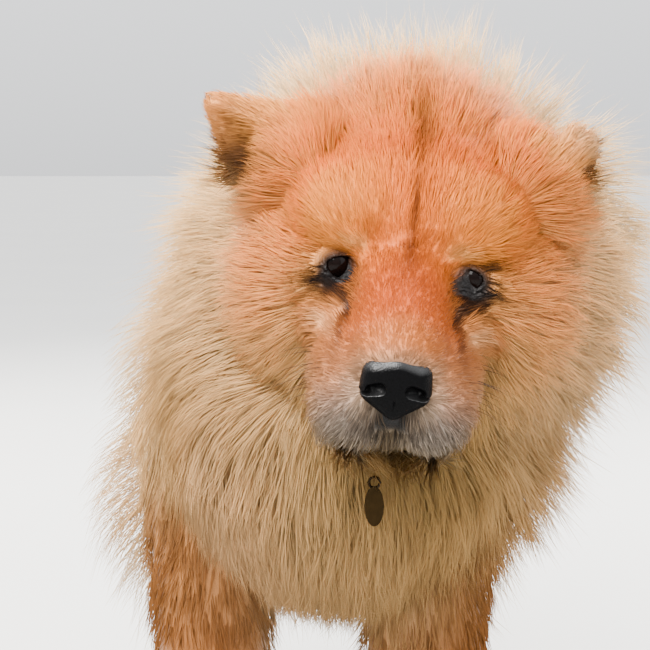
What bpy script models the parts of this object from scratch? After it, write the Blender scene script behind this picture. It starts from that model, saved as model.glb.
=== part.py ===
"""A rough-coated chow chow standing square on four feet, its head a little lowered and tilted.

Metres, +Z up. The dog faces -Y, its left side is +X, and the floor is z = 0. The flesh is blended
from a few named forms, each grown towards the tips of the coat, and is then parted by thin cuts
into head, neck, torso and legs. The long coat is built as flat tapered locks, rooted in the flesh
and bent along the way the coat lies.
"""
import math
import random

import bpy
import bmesh
from mathutils import Matrix, Vector
from mathutils.bvhtree import BVHTree

GAP = 0.0003
CENTRE_SHIFT = Vector((-0.0171, -0.150, 0.0))
COAT_SHARE = 0.45
SMOOTH_PASSES = 6

# Where the head sits: the point between the eyes, and how the head is turned, lowered and tilted
HEAD_AT = Vector((0.051, -0.129, 0.4885))
HEAD_YAW = math.radians(-3.2)
HEAD_PITCH = math.radians(10.0)
HEAD_ROLL = math.radians(6.0)
HEAD = (
    Matrix.Translation(HEAD_AT)
    @ Matrix.Rotation(HEAD_YAW, 4, "Z")
    @ Matrix.Rotation(HEAD_PITCH, 4, "X")
    @ Matrix.Rotation(HEAD_ROLL, 4, "Y")
)

EYE_X = 0.0405
EYE_RADIUS = 0.011
EYE_DEPTH = 0.0115
LID = 0.0022
EYE_OPENING = (0.0088, 0.0048)
NOSE_WIDTH = 0.038
NOSE_AT = Vector((0.0, -0.078, -0.0395))
EAR_BASE = Vector((0.086, 0.060, 0.052))
EAR_HALF_WIDTH = 0.031
EAR_HALF_DEPTH = 0.016
EAR_TIPS = {"right": Vector((-0.128, 0.064, 0.079)), "left": Vector((0.116, 0.064, 0.089))}
EAR_TIP_RADIUS = 0.0140

FORELEG_X = 0.073
HIND_X = 0.088
FORE_STEP = {"right": 0.008, "left": -0.016}
HIND_STEP = {"right": -0.010, "left": 0.012}
SIDES = {"right": -1.0, "left": 1.0}

TAG_HALF = (0.0058, 0.0011, 0.0120)
TAG_AT = Vector((0.034, -0.118, 0.352))
TAG_RING = 0.0034
TAG_WIRE = 0.0008


def form(at, radii, coat):
    """A named lump of flesh: its centre, its half sizes at the skin, and the coat over it."""
    radii = Vector(radii) if hasattr(radii, "__len__") else Vector((radii,) * 3)
    coat = Vector(coat) if hasattr(coat, "__len__") else Vector((coat,) * 3)
    return Vector(at), radii + coat * COAT_SHARE


def limb(*stations):
    """A run of round stations, each (place, skin radius, coat), joined as one tapering limb."""
    return [(Vector(at), radius + coat * COAT_SHARE) for at, radius, coat in stations]


def mirrored(point, side, step=0.0):
    return Vector((point[0] * SIDES[side], point[1] + step, point[2]))


HEAD_FORMS = [
    form((0, 0.062, 0.010), (0.072, 0.062, 0.062), 0.014),
    form((0, 0.088, 0.036), (0.056, 0.050, 0.044), (0.030, 0.030, 0.028)),
    form((0, -0.036, -0.043), (0.045, 0.041, 0.034), 0.003),
    form((0, -0.055, -0.076), (0.028, 0.023, 0.014), 0.003),
    form((0, 0.035, -0.060), (0.052, 0.056, 0.034), (0.030, 0.008, 0.012)),
] + [
    form((side * x, y, z), radii, coat)
    for side in (-1, 1)
    for (x, y, z), radii, coat in (
        ((0.030, 0.030, 0.026), (0.036, 0.032, 0.030), 0.005),
        ((0.048, 0.048, -0.026), (0.037, 0.052, 0.048), (0.040, 0.006, 0.032)),
        ((0.028, -0.004, -0.030), (0.024, 0.030, 0.022), 0.004),
    )
]
HEAD_LIMBS = [limb(((0, 0.004, -0.010), 0.028, 0.003), ((0, -0.059, -0.029), 0.026, 0.002))] + [
    limb(
        ((side * 0.0280, -0.020, -0.046), 0.0280, 0.003),
        ((side * 0.0220, -0.058, -0.055), 0.0255, 0.002),
    )
    for side in (-1, 1)
]
HEAD_NECK = limb(((0, 0.112, -0.024), 0.070, 0.036), ((0, 0.170, -0.024), 0.084, 0.030))

BODY_FORMS = [
    form((0.008, 0.055, 0.374), (0.102, 0.150, 0.112), (0.056, 0.020, 0.038)),
    form((0.016, -0.030, 0.376), (0.084, 0.066, 0.072), (0.052, 0.040, 0.018)),
    form((0.005, 0.145, 0.386), (0.098, 0.100, 0.104), (0.058, 0.020, 0.036)),
    form((0.002, 0.235, 0.388), (0.092, 0.130, 0.094), (0.062, 0.020, 0.036)),
    form((0.0, 0.335, 0.394), (0.092, 0.088, 0.088), (0.052, 0.030, 0.040)),
    form((0.060, 0.026, 0.484), (0.078, 0.070, 0.078), (0.078, 0.050, 0.080)),
]
BODY_LIMBS = [
    limb(((0.032, 0.050, 0.432), 0.092, 0.070), ((0.058, -0.036, 0.474), 0.080, 0.070)),
]
TAIL_LIMB = limb(
    ((0.000, 0.400, 0.452), 0.032, 0.020),
    ((0.000, 0.434, 0.512), 0.028, 0.034),
    ((-0.008, 0.396, 0.552), 0.024, 0.042),
    ((-0.020, 0.315, 0.550), 0.020, 0.044),
    ((-0.032, 0.250, 0.534), 0.014, 0.036),
)


def foreleg(side):
    step = FORE_STEP[side]
    spots = (
        ((0.082, 0.028, 0.370), 0.056, 0.034),
        ((0.0765, 0.014, 0.268), 0.040, 0.014),
        ((FORELEG_X, 0.004, 0.190), 0.034, 0.010),
        ((FORELEG_X, -0.003, 0.100), 0.027, 0.007),
        ((FORELEG_X, -0.008, 0.048), 0.025, 0.005),
    )
    return limb(*((mirrored(at, side, step), radius, coat) for at, radius, coat in spots))


def hind_leg(side):
    step = HIND_STEP[side]
    spots = (
        ((0.080, 0.338, 0.366), 0.064, 0.044),
        ((0.090, 0.300, 0.276), 0.054, 0.034),
        ((0.091, 0.352, 0.190), 0.036, 0.030),
        ((0.090, 0.380, 0.128), 0.027, 0.014),
        ((HIND_X, 0.374, 0.050), 0.024, 0.006),
    )
    return limb(*((mirrored(at, side, step), radius, coat) for at, radius, coat in spots))


TOES = ((-0.0225, 0.024), (-0.0080, 0.034), (0.0080, 0.034), (0.0225, 0.024))
CLAW_DROP = 104.0
FORE_PAW_Y = -0.020
HIND_PAW_Y = 0.352


def paw(side, x, y, step):
    """The pad of a round cat-like foot and its four toes, as forms."""
    middle = mirrored((x, y, 0.021), side, step)
    toes = [form(middle, (0.030, 0.038, 0.024), 0.003)]
    for across, ahead in TOES:
        toes.append(form(middle + Vector((across, -ahead, -0.006)), (0.0115, 0.0150, 0.0145), 0.0015))
    return toes


def claws(side, x, y, step):
    """The four blunt claws of a foot, each sunk in its toe."""
    bm = bmesh.new()
    middle = mirrored((x, y, 0.021), side, step)
    for across, ahead in TOES:
        at = middle + Vector((across, -ahead - 0.0155, -0.0105))
        place = Matrix.Translation(at) @ Matrix.Rotation(math.radians(CLAW_DROP), 4, "X")
        bmesh.ops.create_cone(bm, cap_ends=True, segments=5, radius1=0.0034, radius2=0.0008,
                              depth=0.013, matrix=place)
    return object_from(bm, "claws")


def object_from(bm, name):
    bm.normal_update()
    bmesh.ops.recalc_face_normals(bm, faces=bm.faces)
    mesh = bpy.data.meshes.new(name)
    bm.to_mesh(mesh)
    bm.free()
    obj = bpy.data.objects.new(name, mesh)
    bpy.context.scene.collection.objects.link(obj)
    return obj


def remove(obj):
    bpy.data.objects.remove(obj)


def ball(bm, at, radii, fineness=3):
    """Adds one closed ellipsoid to a mesh under construction."""
    place = Matrix.Translation(at) @ Matrix.Diagonal((*radii, 1.0))
    bmesh.ops.create_icosphere(bm, subdivisions=fineness, radius=1.0, matrix=place)


def hulled(spheres, fineness=2):
    """The closed skin drawn tight over a few (place, radii) ellipsoids."""
    bm = bmesh.new()
    for at, radii in spheres:
        ball(bm, at, radii, fineness)
    bmesh.ops.delete(bm, geom=bm.faces[:] + bm.edges[:], context="EDGES_FACES")
    found = bmesh.ops.convex_hull(bm, input=bm.verts)
    inside = [v for v in found["geom_interior"] if isinstance(v, bmesh.types.BMVert)]
    bmesh.ops.delete(bm, geom=inside, context="VERTS")
    return bm


def apply_modifiers(obj):
    """Swaps an object's mesh for the one its modifiers give, and clears them."""
    depsgraph = bpy.context.evaluated_depsgraph_get()
    depsgraph.update()
    mesh = bpy.data.meshes.new_from_object(obj.evaluated_get(depsgraph))
    obj.modifiers.clear()
    obj.data = mesh


def blended(name, forms, limbs, voxel, faces, place=None):
    """One smooth closed mesh drawn over ellipsoids and tapering limbs, thinned to a face count."""
    shapes = bmesh.new()
    for at, radii in forms:
        ball(shapes, at, radii)
    for run in limbs:
        for (at_a, radius_a), (at_b, radius_b) in zip(run, run[1:]):
            hull = hulled([(at_a, Vector((radius_a,) * 3)), (at_b, Vector((radius_b,) * 3))], 3)
            piece = bpy.data.meshes.new("limb")
            hull.to_mesh(piece)
            hull.free()
            shapes.from_mesh(piece)
            bpy.data.meshes.remove(piece)
    obj = object_from(shapes, name)
    if place:
        obj.data.transform(place)
    remesh = obj.modifiers.new("blend", "REMESH")
    remesh.mode = "VOXEL"
    remesh.voxel_size = voxel
    smooth = obj.modifiers.new("soften", "SMOOTH")
    smooth.factor = 0.5
    smooth.iterations = SMOOTH_PASSES
    apply_modifiers(obj)
    thin = obj.modifiers.new("thin", "DECIMATE")
    thin.use_collapse_triangulate = True
    thin.ratio = faces / sum(len(face.vertices) - 2 for face in obj.data.polygons)
    apply_modifiers(obj)
    return obj


def boolean(target, others, operation, solver="MANIFOLD"):
    """Applies one Boolean between an object and a collection of others, which are then removed."""
    if not others:
        return target
    group = bpy.data.collections.new("pieces")
    for other in others:
        group.objects.link(other)
    modifier = target.modifiers.new("join", "BOOLEAN")
    modifier.operation = operation
    modifier.operand_type = "COLLECTION"
    modifier.collection = group
    modifier.solver = solver
    apply_modifiers(target)
    for other in others:
        remove(other)
    bpy.data.collections.remove(group)
    return target


def copied(obj):
    twin = obj.copy()
    twin.data = obj.data.copy()
    bpy.context.scene.collection.objects.link(twin)
    return twin


def grown(obj, by=GAP * 1.4):
    """A copy of a piece swollen along its normals, which cuts its pocket out of a neighbour."""
    twin = copied(obj)
    bm = bmesh.new()
    bm.from_mesh(twin.data)
    bm.normal_update()
    moved = [vert.co + vert.normal * by for vert in bm.verts]
    for vert, place in zip(bm.verts, moved):
        vert.co = place
    bm.to_mesh(twin.data)
    bm.free()
    return twin


def block(lo, hi, place=None):
    """A closed box between two corners, placed by a matrix."""
    bm = bmesh.new()
    bmesh.ops.create_cube(bm, size=1.0)
    lo, hi = Vector(lo), Vector(hi)
    for vert in bm.verts:
        vert.co = Vector(((lo[i] + hi[i]) / 2 + vert.co[i] * (hi[i] - lo[i]) for i in range(3)))
    if place:
        bm.transform(place)
    return object_from(bm, "block")


def plane_frame(at, normal):
    """A matrix whose +Z is the normal of a cut and whose origin lies on it."""
    return Matrix.Translation(at) @ Vector(normal).to_track_quat("Z", "Y").to_matrix().to_4x4()


def flipped(frame):
    return frame @ Matrix.Rotation(math.pi, 4, "X")


def beyond(frame, offset=0.0, reach=1.2):
    """A big box that fills the side of a cut its normal points to."""
    return block((-reach, -reach, offset), (reach, reach, reach), frame)


def largest(obj):
    """Keeps only the largest closed surface of an object."""
    bm = bmesh.new()
    bm.from_mesh(obj.data)
    bm.faces.ensure_lookup_table()
    seen, pieces = set(), []
    for start in bm.faces:
        if start.index in seen:
            continue
        seen.add(start.index)
        piece, queue = [], [start]
        while queue:
            face = queue.pop()
            piece.append(face)
            for edge in face.edges:
                for neighbour in edge.link_faces:
                    if neighbour.index not in seen:
                        seen.add(neighbour.index)
                        queue.append(neighbour)
        pieces.append(piece)
    pieces.sort(key=lambda piece: sum(face.calc_area() for face in piece), reverse=True)
    for piece in pieces[1:]:
        bmesh.ops.delete(bm, geom=piece, context="FACES")
    bm.to_mesh(obj.data)
    bm.free()
    return obj


# The cuts that part the flesh
NECK_CUT = plane_frame(HEAD @ Vector((0, 0.078, -0.020)), HEAD.to_3x3() @ Vector((0, 0.82, -0.57)))
THROAT_Z = 0.425
SHOULDER_CUT = plane_frame(Vector((0.030, 0.020, 0.430)), Vector((0.0, 0.80, -0.60)))


def head_room(flesh):
    """What the head takes of the neck: all before the cut above the throat, and the jaw's pocket."""
    throat = block((-1, -1, THROAT_Z), (1, 1, 2))
    before = boolean(beyond(flipped(NECK_CUT), -GAP / 2), [throat], "INTERSECT")
    return [before, grown(flesh)]


def leg_cell(side, inner, outer, front, back, grow=0.0):
    """The room a leg takes under the body: a prism below a roof that slants through two (x, z)."""
    slope = (outer[1] - inner[1]) / (outer[0] - inner[0])
    near, far, floor = inner[0] - grow, 0.60, -0.10
    roof = [inner[1] + grow + slope * (x - inner[0]) for x in (near, far)]
    outline = ((near, floor), (near, roof[0]), (far, roof[1]), (far, floor))
    bm = bmesh.new()
    rings = [
        [bm.verts.new((x * SIDES[side], y, z)) for x, z in outline]
        for y in (front - grow, back + grow)
    ]
    for i in range(4):
        j = (i + 1) % 4
        bm.faces.new((rings[0][i], rings[0][j], rings[1][j], rings[1][i]))
    for ring in rings:
        bm.faces.new(ring)
    return object_from(bm, "cell")


# The roof each pair of legs is cut to, as two (x, z) points, and the (front, back) y of its room
LEG_CELLS = (
    ("foreleg", ((0.016, 0.226), (0.150, 0.305)), (-0.14, 0.14)),
    ("hind_leg", ((0.012, 0.236), (0.200, 0.440)), (0.205, 0.64)),
)


# A lock's half width and thickness at each ring, as shares, from its root to the ring before the tip
LOCK_RINGS = ((0.0, 0.36, 0.30), (0.36, 0.50, 0.26), (0.74, 0.34, 0.16))
LOCK_SINK = 0.012
# Rings of the ruff: how far behind the head, how many locks, and the angle they span about the top
RUFF_RINGS = (
    (-0.034, 4, 1.9),
    (0.002, 7, 3.6),
    (0.038, 9, 5.0),
    (0.076, 9, 5.0),
    (0.114, 8, 4.4),
    (0.146, 5, 2.4),
)
# How far out its roots are looked for, and how far it stands off on the dog's right and on its left
RUFF_REACH = 0.21
RUFF_LIFTS = ((0.50, 0.06), (0.95, 0.38))
RUMP_SPOTS = ((0.068, 0.275), (0.062, 0.345), (0.036, 0.405))
# Stray locks of the mane, root and tip, from the point between the eyes
STRAY_LOCKS = (
    ((-0.045, 0.135, 0.105), (-0.082, 0.150, 0.160)),
    ((-0.030, 0.140, 0.108), (-0.066, 0.155, 0.148)),
    ((0.030, 0.150, 0.105), (0.042, 0.175, 0.168)),
    ((0.075, 0.150, 0.095), (0.090, 0.170, 0.140)),
)


def surface_of(*objects):
    """What the coat is rooted on: a tree of the faces of several pieces of flesh."""
    bm = bmesh.new()
    for obj in objects:
        bm.from_mesh(obj.data)
    tree = BVHTree.FromBMesh(bm)
    bm.free()
    return tree


def lock_spine(surface, root, lie, length, lifts, sway):
    """The line of a lock: it leaves the flesh at one lift and bends over along the lie to another."""
    steps = 10
    place, back = Vector(root), surface.find_nearest(root)[1]
    flat = (lie - back * lie.dot(back)).normalized()
    points, backs = [place - back * LOCK_SINK - flat * LOCK_SINK * 0.6, place.copy()], [back, back]
    for step in range(steps):
        share = (step + 0.5) / steps
        back = back.lerp(surface.find_nearest(place)[1], 0.3).normalized()
        flat = flat + lie - back * lie.dot(back)
        flat = (flat - back * flat.dot(back)).normalized()
        way = (flat + back.cross(flat) * sway * share).normalized()
        lift = lifts[0] + (lifts[1] - lifts[0]) * share
        place = place + (way * math.cos(lift) + back * math.sin(lift)) * length / steps
        points.append(place)
        backs.append(back)
    return points, backs


def close_strip(bm, rings, tip):
    """Faces a three-sided strip from its closed root to its tip."""
    for ring_a, ring_b in zip(rings, rings[1:]):
        for i in range(3):
            j = (i + 1) % 3
            bm.faces.new((ring_a[i], ring_a[j], ring_b[j]))
            bm.faces.new((ring_a[i], ring_b[j], ring_b[i]))
    for i in range(3):
        bm.faces.new((rings[-1][i], rings[-1][(i + 1) % 3], tip))
    bm.faces.new(rings[0][::-1])


def lock(surface, root, lie, length, width, lifts, sway):
    """One flat tapered lock with three sides: a flat underside and a ridge along its back."""
    points, backs = lock_spine(surface, root, lie, length, lifts, sway)
    bm = bmesh.new()
    rings = []
    last = len(points) - 1
    for share, half, thick in LOCK_RINGS:
        at = share * last
        low = min(int(at), last - 1)
        place = points[low].lerp(points[low + 1], at - low)
        along = (points[min(low + 2, last)] - points[max(low - 1, 0)]).normalized()
        across = along.cross(backs[low]).normalized()
        back = across.cross(along).normalized()
        corners = (across * half * width, -across * half * width, back * thick * width)
        rings.append([bm.verts.new(place + corner) for corner in corners])
    close_strip(bm, rings, bm.verts.new(points[last]))
    return object_from(bm, "lock")


def rooted(surface, start, towards):
    """Where a line from outside first meets the flesh on its way to a point inside."""
    start, towards = Vector(start), Vector(towards)
    return surface.ray_cast(start, (towards - start).normalized(), (towards - start).length)[0]


def patch(surface, rng, spots, lie, length, width, lifts, sway=0.45):
    """Locks rooted at a list of (outside point, aim) pairs, varied a little in size and lie."""
    locks = []
    for start, aim in spots:
        root = rooted(surface, start, aim)
        if root is None:
            continue
        way = Vector(lie(root)) if callable(lie) else Vector(lie)
        way = way.normalized() + Vector([rng.uniform(-0.10, 0.10) for _ in range(3)])
        size, bend = rng.uniform(0.88, 1.14), rng.uniform(-sway, sway)
        piece = lock(surface, root, way, length * size, width * rng.uniform(0.9, 1.1), lifts, bend)
        locks.append((root, piece))
    return locks


def grid(rows, columns, rng, jitter, point):
    """Staggered rows of spots: point(row, column) gives each (outside point, aim) pair."""
    spots = []
    for index, row in enumerate(rows):
        for column in columns:
            shift = (columns[1] - columns[0]) / 2 * (index % 2) if len(columns) > 1 else 0.0
            wander = rng.uniform(-jitter, jitter)
            spots.append(point(row, column + shift + wander))
    return spots


def ruff_locks(surface, rng):
    """Rings of long locks round the neck, lying back from the face and down at the sides."""
    start, end = BODY_LIMBS[0][0][0], BODY_LIMBS[0][1][0]
    axis = (start - end).normalized()
    side = axis.cross(Vector((0, 0, 1))).normalized()
    up = side.cross(axis)

    def lie(root):
        height = (root - start).normalized().dot(up)
        return axis + up * 0.45 * max(height, 0.0) - Vector((0, 0, 0.85)) * (1.0 - abs(height))

    def spot(share, angle):
        middle = end + axis * share
        return middle + (up * math.cos(angle) + side * math.sin(angle)) * RUFF_REACH, middle

    locks = []
    for ring, (share, count, span) in enumerate(RUFF_RINGS):
        angles = [((step + ring % 2 * 0.5) / count - 0.5) * span for step in range(count)]
        spots = [spot(share, angle + rng.uniform(-0.07, 0.07)) for angle in angles]
        for half, lifts in zip((spots[: count // 2], spots[count // 2:]), RUFF_LIFTS):
            locks += patch(surface, rng, half, lie, 0.104, 0.060, lifts)
    return locks + [stray(*ends) for ends in STRAY_LOCKS]


def stray(root, tip):
    """One long thin lock that stands clear of the mane, from its root to its tip."""
    root, tip = HEAD_AT + Vector(root), HEAD_AT + Vector(tip)
    points = [root.lerp(tip, share) for share in (-0.3, 0.4, 0.8)]
    bm = bmesh.new()
    rings = []
    for place, size in zip(points, (0.008, 0.006, 0.004)):
        corners = (Vector((size, 0, 0)), Vector((-size, 0, 0)), Vector((0, 0, size * 0.8)))
        rings.append([bm.verts.new(place + corner) for corner in corners])
    close_strip(bm, rings, bm.verts.new(tip))
    return root, object_from(bm, "stray")


def head_locks(surface, rng):
    """The crown behind the brow, the full cheeks, and the hair under the jaw."""
    turn = HEAD.to_3x3()

    def local(start, aim):
        return HEAD @ Vector(start), HEAD @ Vector(aim)

    def crown_lie(root):
        at = HEAD.inverted() @ root
        return turn @ Vector((at.x * 7.0, 0.9, 0.10))

    locks = []
    for row, length, columns in ((0.056, 0.042, 4), (0.090, 0.056, 4)):
        across = [(step - (columns - 1) / 2) * 0.027 for step in range(columns)]
        spots = [local((x, row, 0.5), (x, row, 0.0)) for x in across]
        locks += patch(surface, rng, spots, crown_lie, length, 0.036, (0.70, 0.30))
    for side in (-1, 1):
        for row, count, length in ((0.018, 4, 0.046), (0.048, 5, 0.058)):
            spots = []
            for step in range(count):
                angle = math.radians(22 - 92 * step / (count - 1))
                out = Vector((math.cos(angle) * side, 0, math.sin(angle)))
                spots.append(local(Vector((0, row, -0.020)) + out * 0.5, (0, row, -0.020)))
            lie = turn @ Vector((side * 0.30, 0.80, -0.50))
            locks += patch(surface, rng, spots, lie, length, 0.048, (0.65, 0.22))
    spots = [local((x, 0.050, -0.5), (x, 0.050, 0.0)) for x in (-0.030, 0.0, 0.030)]
    return locks + patch(surface, rng, spots, turn @ Vector((0, 0.8, -0.4)), 0.055, 0.040, (0.8, 0.4))


def bib_locks(trunk, rng):
    """Rows of locks that hang from the throat to the hem between the forelegs."""
    spots = grid((0.402, 0.372, 0.342), [-0.082 + 0.044 * i for i in range(5)], rng, 0.005,
                 lambda z, x: ((x, -0.6, z), (x, 0.05, z)))
    return patch(trunk, rng, spots, (0, -0.1, -1), 0.080, 0.050, (0.55, 0.12))


def body_locks(surface, rng):
    """The flanks, back, rump, belly fringe, trousers and the feather behind the forelegs."""
    locks = []
    for side in (-1, 1):
        flank = grid((0.455, 0.392, 0.330), (0.030, 0.112, 0.194), rng, 0.008,
                     lambda z, y, side=side: ((side * 0.6, y, z), (0, y, z)))
        locks += patch(surface, rng, flank, (0, 0.80, -0.55), 0.112, 0.066, (0.45, 0.06), 0.25)
        thigh = grid((0.385, 0.325, 0.265), (0.285, 0.345), rng, 0.006,
                     lambda z, y, side=side: ((side * 0.6, y, z), (side * 0.05, y, z)))
        locks += patch(surface, rng, thigh, (0, 0.50, -0.85), 0.092, 0.048, (0.55, 0.12))
        trousers = grid((0.400, 0.330, 0.262), (0.050, 0.104), rng, 0.005,
                        lambda z, x, side=side: ((side * x, 0.8, z), (side * x, 0.30, z)))
        locks += patch(surface, rng, trousers, (0, 0.35, -1), 0.092, 0.050, (0.65, 0.18))
        rump = [((side * x, y, 1.0), (side * x, y, 0.4)) for x, y in RUMP_SPOTS]
        locks += patch(surface, rng, rump, (side * 0.8, 0.8, -0.3), 0.080, 0.050, (0.60, 0.12))
        step = FORE_STEP["left" if side > 0 else "right"]
        feather = grid((0.225, 0.180, 0.135), (FORELEG_X,), rng, 0.003,
                       lambda z, x, side=side: ((side * x, 0.13, z), (side * x, step, z)))
        locks += patch(surface, rng, feather, (0, 0.30, -1), 0.052, 0.026, (0.50, 0.20), 0.0)
    back = grid((0.130, 0.190), (-0.076, -0.020, 0.036), rng, 0.006,
                lambda y, x: ((x, y, 1.0), (x, y, 0.4)))
    locks += patch(surface, rng, back, lambda root: (root.x * 5.0, 0.9, 0.0), 0.080, 0.052, (0.60, 0.12))
    belly = [((x, 0.130, -0.1), (x, 0.130, 0.4)) for x in (-0.045, 0.045)]
    return locks + patch(surface, rng, belly, (0, 0.7, -0.3), 0.055, 0.042, (0.60, 0.25))


def tail_locks(surface, rng):
    """The plume: locks that leave the tail all round and trail towards its tip."""
    locks = []
    for at, onward in zip(TAIL_LIMB, TAIL_LIMB[1:]):
        middle = at[0].lerp(onward[0], 0.5)
        along = (onward[0] - at[0]).normalized()
        side = along.cross(Vector((1, 0, 0))).normalized()
        spots = []
        for step in range(4):
            angle = math.tau * (step + 0.5) / 4
            out = side * math.cos(angle) + Vector((1, 0, 0)) * math.sin(angle)
            spots.append((middle + out * 0.4, middle))
        locks += patch(surface, rng, spots, along, 0.090, 0.050, (0.60, 0.28))
    return locks


def clear_of(obj, room, neighbours):
    """Cuts a node back from the locks of others, then from all that is left of them inside it."""
    boolean(obj, [copied(piece) for piece in room], "DIFFERENCE")
    for neighbour in neighbours:
        boolean(obj, [copied(neighbour)], "DIFFERENCE")
    return largest(obj)


def node_of(root, throat=False):
    """Which part of the body a lock is rooted in; a lock of the throat is never the head's."""
    if (NECK_CUT.inverted() @ root).z < 0 and not throat:
        return "head"
    if (SHOULDER_CUT.inverted() @ root).z < 0:
        return "neck"
    for side in SIDES:
        x = root.x * SIDES[side]
        for name, ((x0, z0), (x1, z1)), (front, back) in LEG_CELLS:
            if x > x0 and front < root.y < back and root.z < z0 + (x - x0) * (z1 - z0) / (x1 - x0):
                return f"{name}_{side}"
    return "torso"


def eye(side):
    bm = bmesh.new()
    at = Matrix.Translation((EYE_X * SIDES[side], EYE_DEPTH, 0.0))
    place = HEAD @ at @ Matrix.Rotation(math.pi / 2, 4, "X")
    bmesh.ops.create_uvsphere(bm, u_segments=14, v_segments=7, radius=EYE_RADIUS, matrix=place)
    return object_from(bm, f"eye_{side}")


def eye_cutters(side):
    """The shallow bowl round an eye, the lids as a shell over it, and what opens them."""
    at = Vector((EYE_X * SIDES[side], EYE_DEPTH, 0.0))
    bowl, lids, opening = (bmesh.new() for _ in range(3))
    ball(bowl, HEAD @ (at + Vector((0, -0.0215, 0.0))), (0.0190, 0.0130, 0.0125), 2)
    ball(lids, HEAD @ at, (EYE_RADIUS + LID,) * 3, 2)
    tilt = Matrix.Rotation(math.radians(12) * SIDES[side], 4, "Y")
    slot = Matrix.Translation(at - Vector((0, EYE_RADIUS, 0))) @ tilt
    slot = slot @ Matrix.Rotation(math.radians(90), 4, "X")
    slot = slot @ Matrix.Diagonal((EYE_OPENING[0], EYE_OPENING[1], 1.0, 1.0))
    bmesh.ops.create_cone(
        opening, cap_ends=True, segments=14, radius1=1.0, radius2=1.0, depth=EYE_RADIUS, matrix=HEAD @ slot
    )
    return [object_from(bm, "eye_piece") for bm in (bowl, lids, opening)]


def nose_shape():
    """The leather of the nose: a broad top over a narrower lip, with a comma nostril each side."""
    half = NOSE_WIDTH / 2
    forms = [
        (NOSE_AT + Vector((0, 0.001, 0.005)), Vector((half - 0.003, 0.0115, 0.0095))),
        (NOSE_AT + Vector((0, 0.002, -0.010)), Vector((0.0075, 0.0085, 0.0075))),
    ] + [
        (NOSE_AT + Vector((side * 0.0105, 0.002, -0.0015)), Vector((0.0085, 0.0105, 0.0110)))
        for side in (-1, 1)
    ]
    return blended("nose", forms, [], 0.0012, 320, HEAD)


def nose(obj):
    holes = []
    for side in (-1, 1):
        spots = [
            (NOSE_AT + Vector((side * 0.0080, -0.0105, -0.0005)), Vector((0.0034, 0.0048, 0.0034))),
            (NOSE_AT + Vector((side * 0.0140, -0.0080, -0.0050)), Vector((0.0014, 0.0040, 0.0012))),
        ]
        hole = object_from(hulled(spots), "nostril")
        hole.data.transform(HEAD)
        holes.append(hole)
    return largest(boolean(obj, holes, "DIFFERENCE"))


def ear_shape(side):
    """A small thick ear: a skin drawn from a broad oval base to a rounded tip."""
    base = Vector((EAR_BASE.x * SIDES[side], EAR_BASE.y, EAR_BASE.z))
    tip = EAR_TIPS[side]
    up = (tip - base).normalized()
    ahead = Vector((0.30 * SIDES[side], -0.95, 0.0))
    ahead = (ahead - up * ahead.dot(up)).normalized()
    across = up.cross(ahead).normalized()
    frame = Matrix.Translation(base) @ Matrix((across, -ahead, up)).transposed().to_4x4()
    top = (tip - base).length - EAR_TIP_RADIUS
    spheres = [
        ((0, 0, -0.012), (EAR_HALF_WIDTH * 0.92, EAR_HALF_DEPTH, 0.014)),
        ((0, 0, 0.010), (EAR_HALF_WIDTH, EAR_HALF_DEPTH, 0.016)),
        ((0, 0.002, top), (EAR_TIP_RADIUS * 1.25, EAR_TIP_RADIUS * 0.75, EAR_TIP_RADIUS)),
    ]
    obj = object_from(hulled([(Vector(at), Vector(radii)) for at, radii in spheres]), "ear")
    obj.data.transform(HEAD @ frame)
    return obj, frame, top


def ear(obj, frame, top):
    cup = [
        ((0, -0.013, 0.004), (0.0185, 0.010, 0.017)),
        ((0, -0.010, top - 0.003), (0.0085, 0.007, 0.008)),
    ]
    hollow = object_from(hulled([(Vector(at), Vector(radii)) for at, radii in cup], 2), "cup")
    hollow.data.transform(HEAD @ frame)
    return largest(boolean(obj, [hollow], "DIFFERENCE"))


def mouth_blade():
    """A thin blade along the line of the mouth, which the cut leaves as a groove under the lips."""
    stations = []
    for step in range(-6, 7):
        turn = step / 6 * math.radians(78)
        x = 0.056 * math.sin(turn)
        y = -0.028 - 0.063 * math.cos(turn)
        z = -0.0665 - 0.0120 * (step / 6) ** 2
        inward = Vector((-x, -0.030 - y, 0.0)).normalized()
        stations.append((Vector((x, y, z)), inward))
    bm = bmesh.new()
    rings = []
    for at, inward in stations:
        outer, inner = at - inward * 0.006, at + inward * 0.013
        corners = (outer, inner)
        ring = [bm.verts.new(corner + Vector((0, 0, 0.0007 * sign))) for sign in (1, -1) for corner in corners]
        rings.append((ring[0], ring[1], ring[3], ring[2]))
    for ring_a, ring_b in zip(rings, rings[1:]):
        for i in range(4):
            j = (i + 1) % 4
            bm.faces.new((ring_a[i], ring_a[j], ring_b[j]))
            bm.faces.new((ring_a[i], ring_b[j], ring_b[i]))
    bm.faces.new(rings[0][::-1])
    bm.faces.new(rings[-1])
    obj = object_from(bm, "mouth")
    obj.data.transform(HEAD)
    return obj


def head_flesh():
    return blended("head", HEAD_FORMS, HEAD_LIMBS + [HEAD_NECK], 0.0026, 1720, HEAD)


def head(obj, locks, pieces):
    """The head, with its lids and the line of its mouth, and a pocket for each piece set in it."""
    boolean(obj, locks, "UNION")
    for side in SIDES:
        bowl, lids, opening = eye_cutters(side)
        boolean(obj, [bowl], "DIFFERENCE")
        boolean(obj, [lids], "UNION")
        boolean(obj, [opening], "DIFFERENCE")
    for cutter in [mouth_blade()] + [grown(piece) for piece in pieces]:
        boolean(obj, [cutter], "DIFFERENCE")
    return largest(obj)


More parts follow.
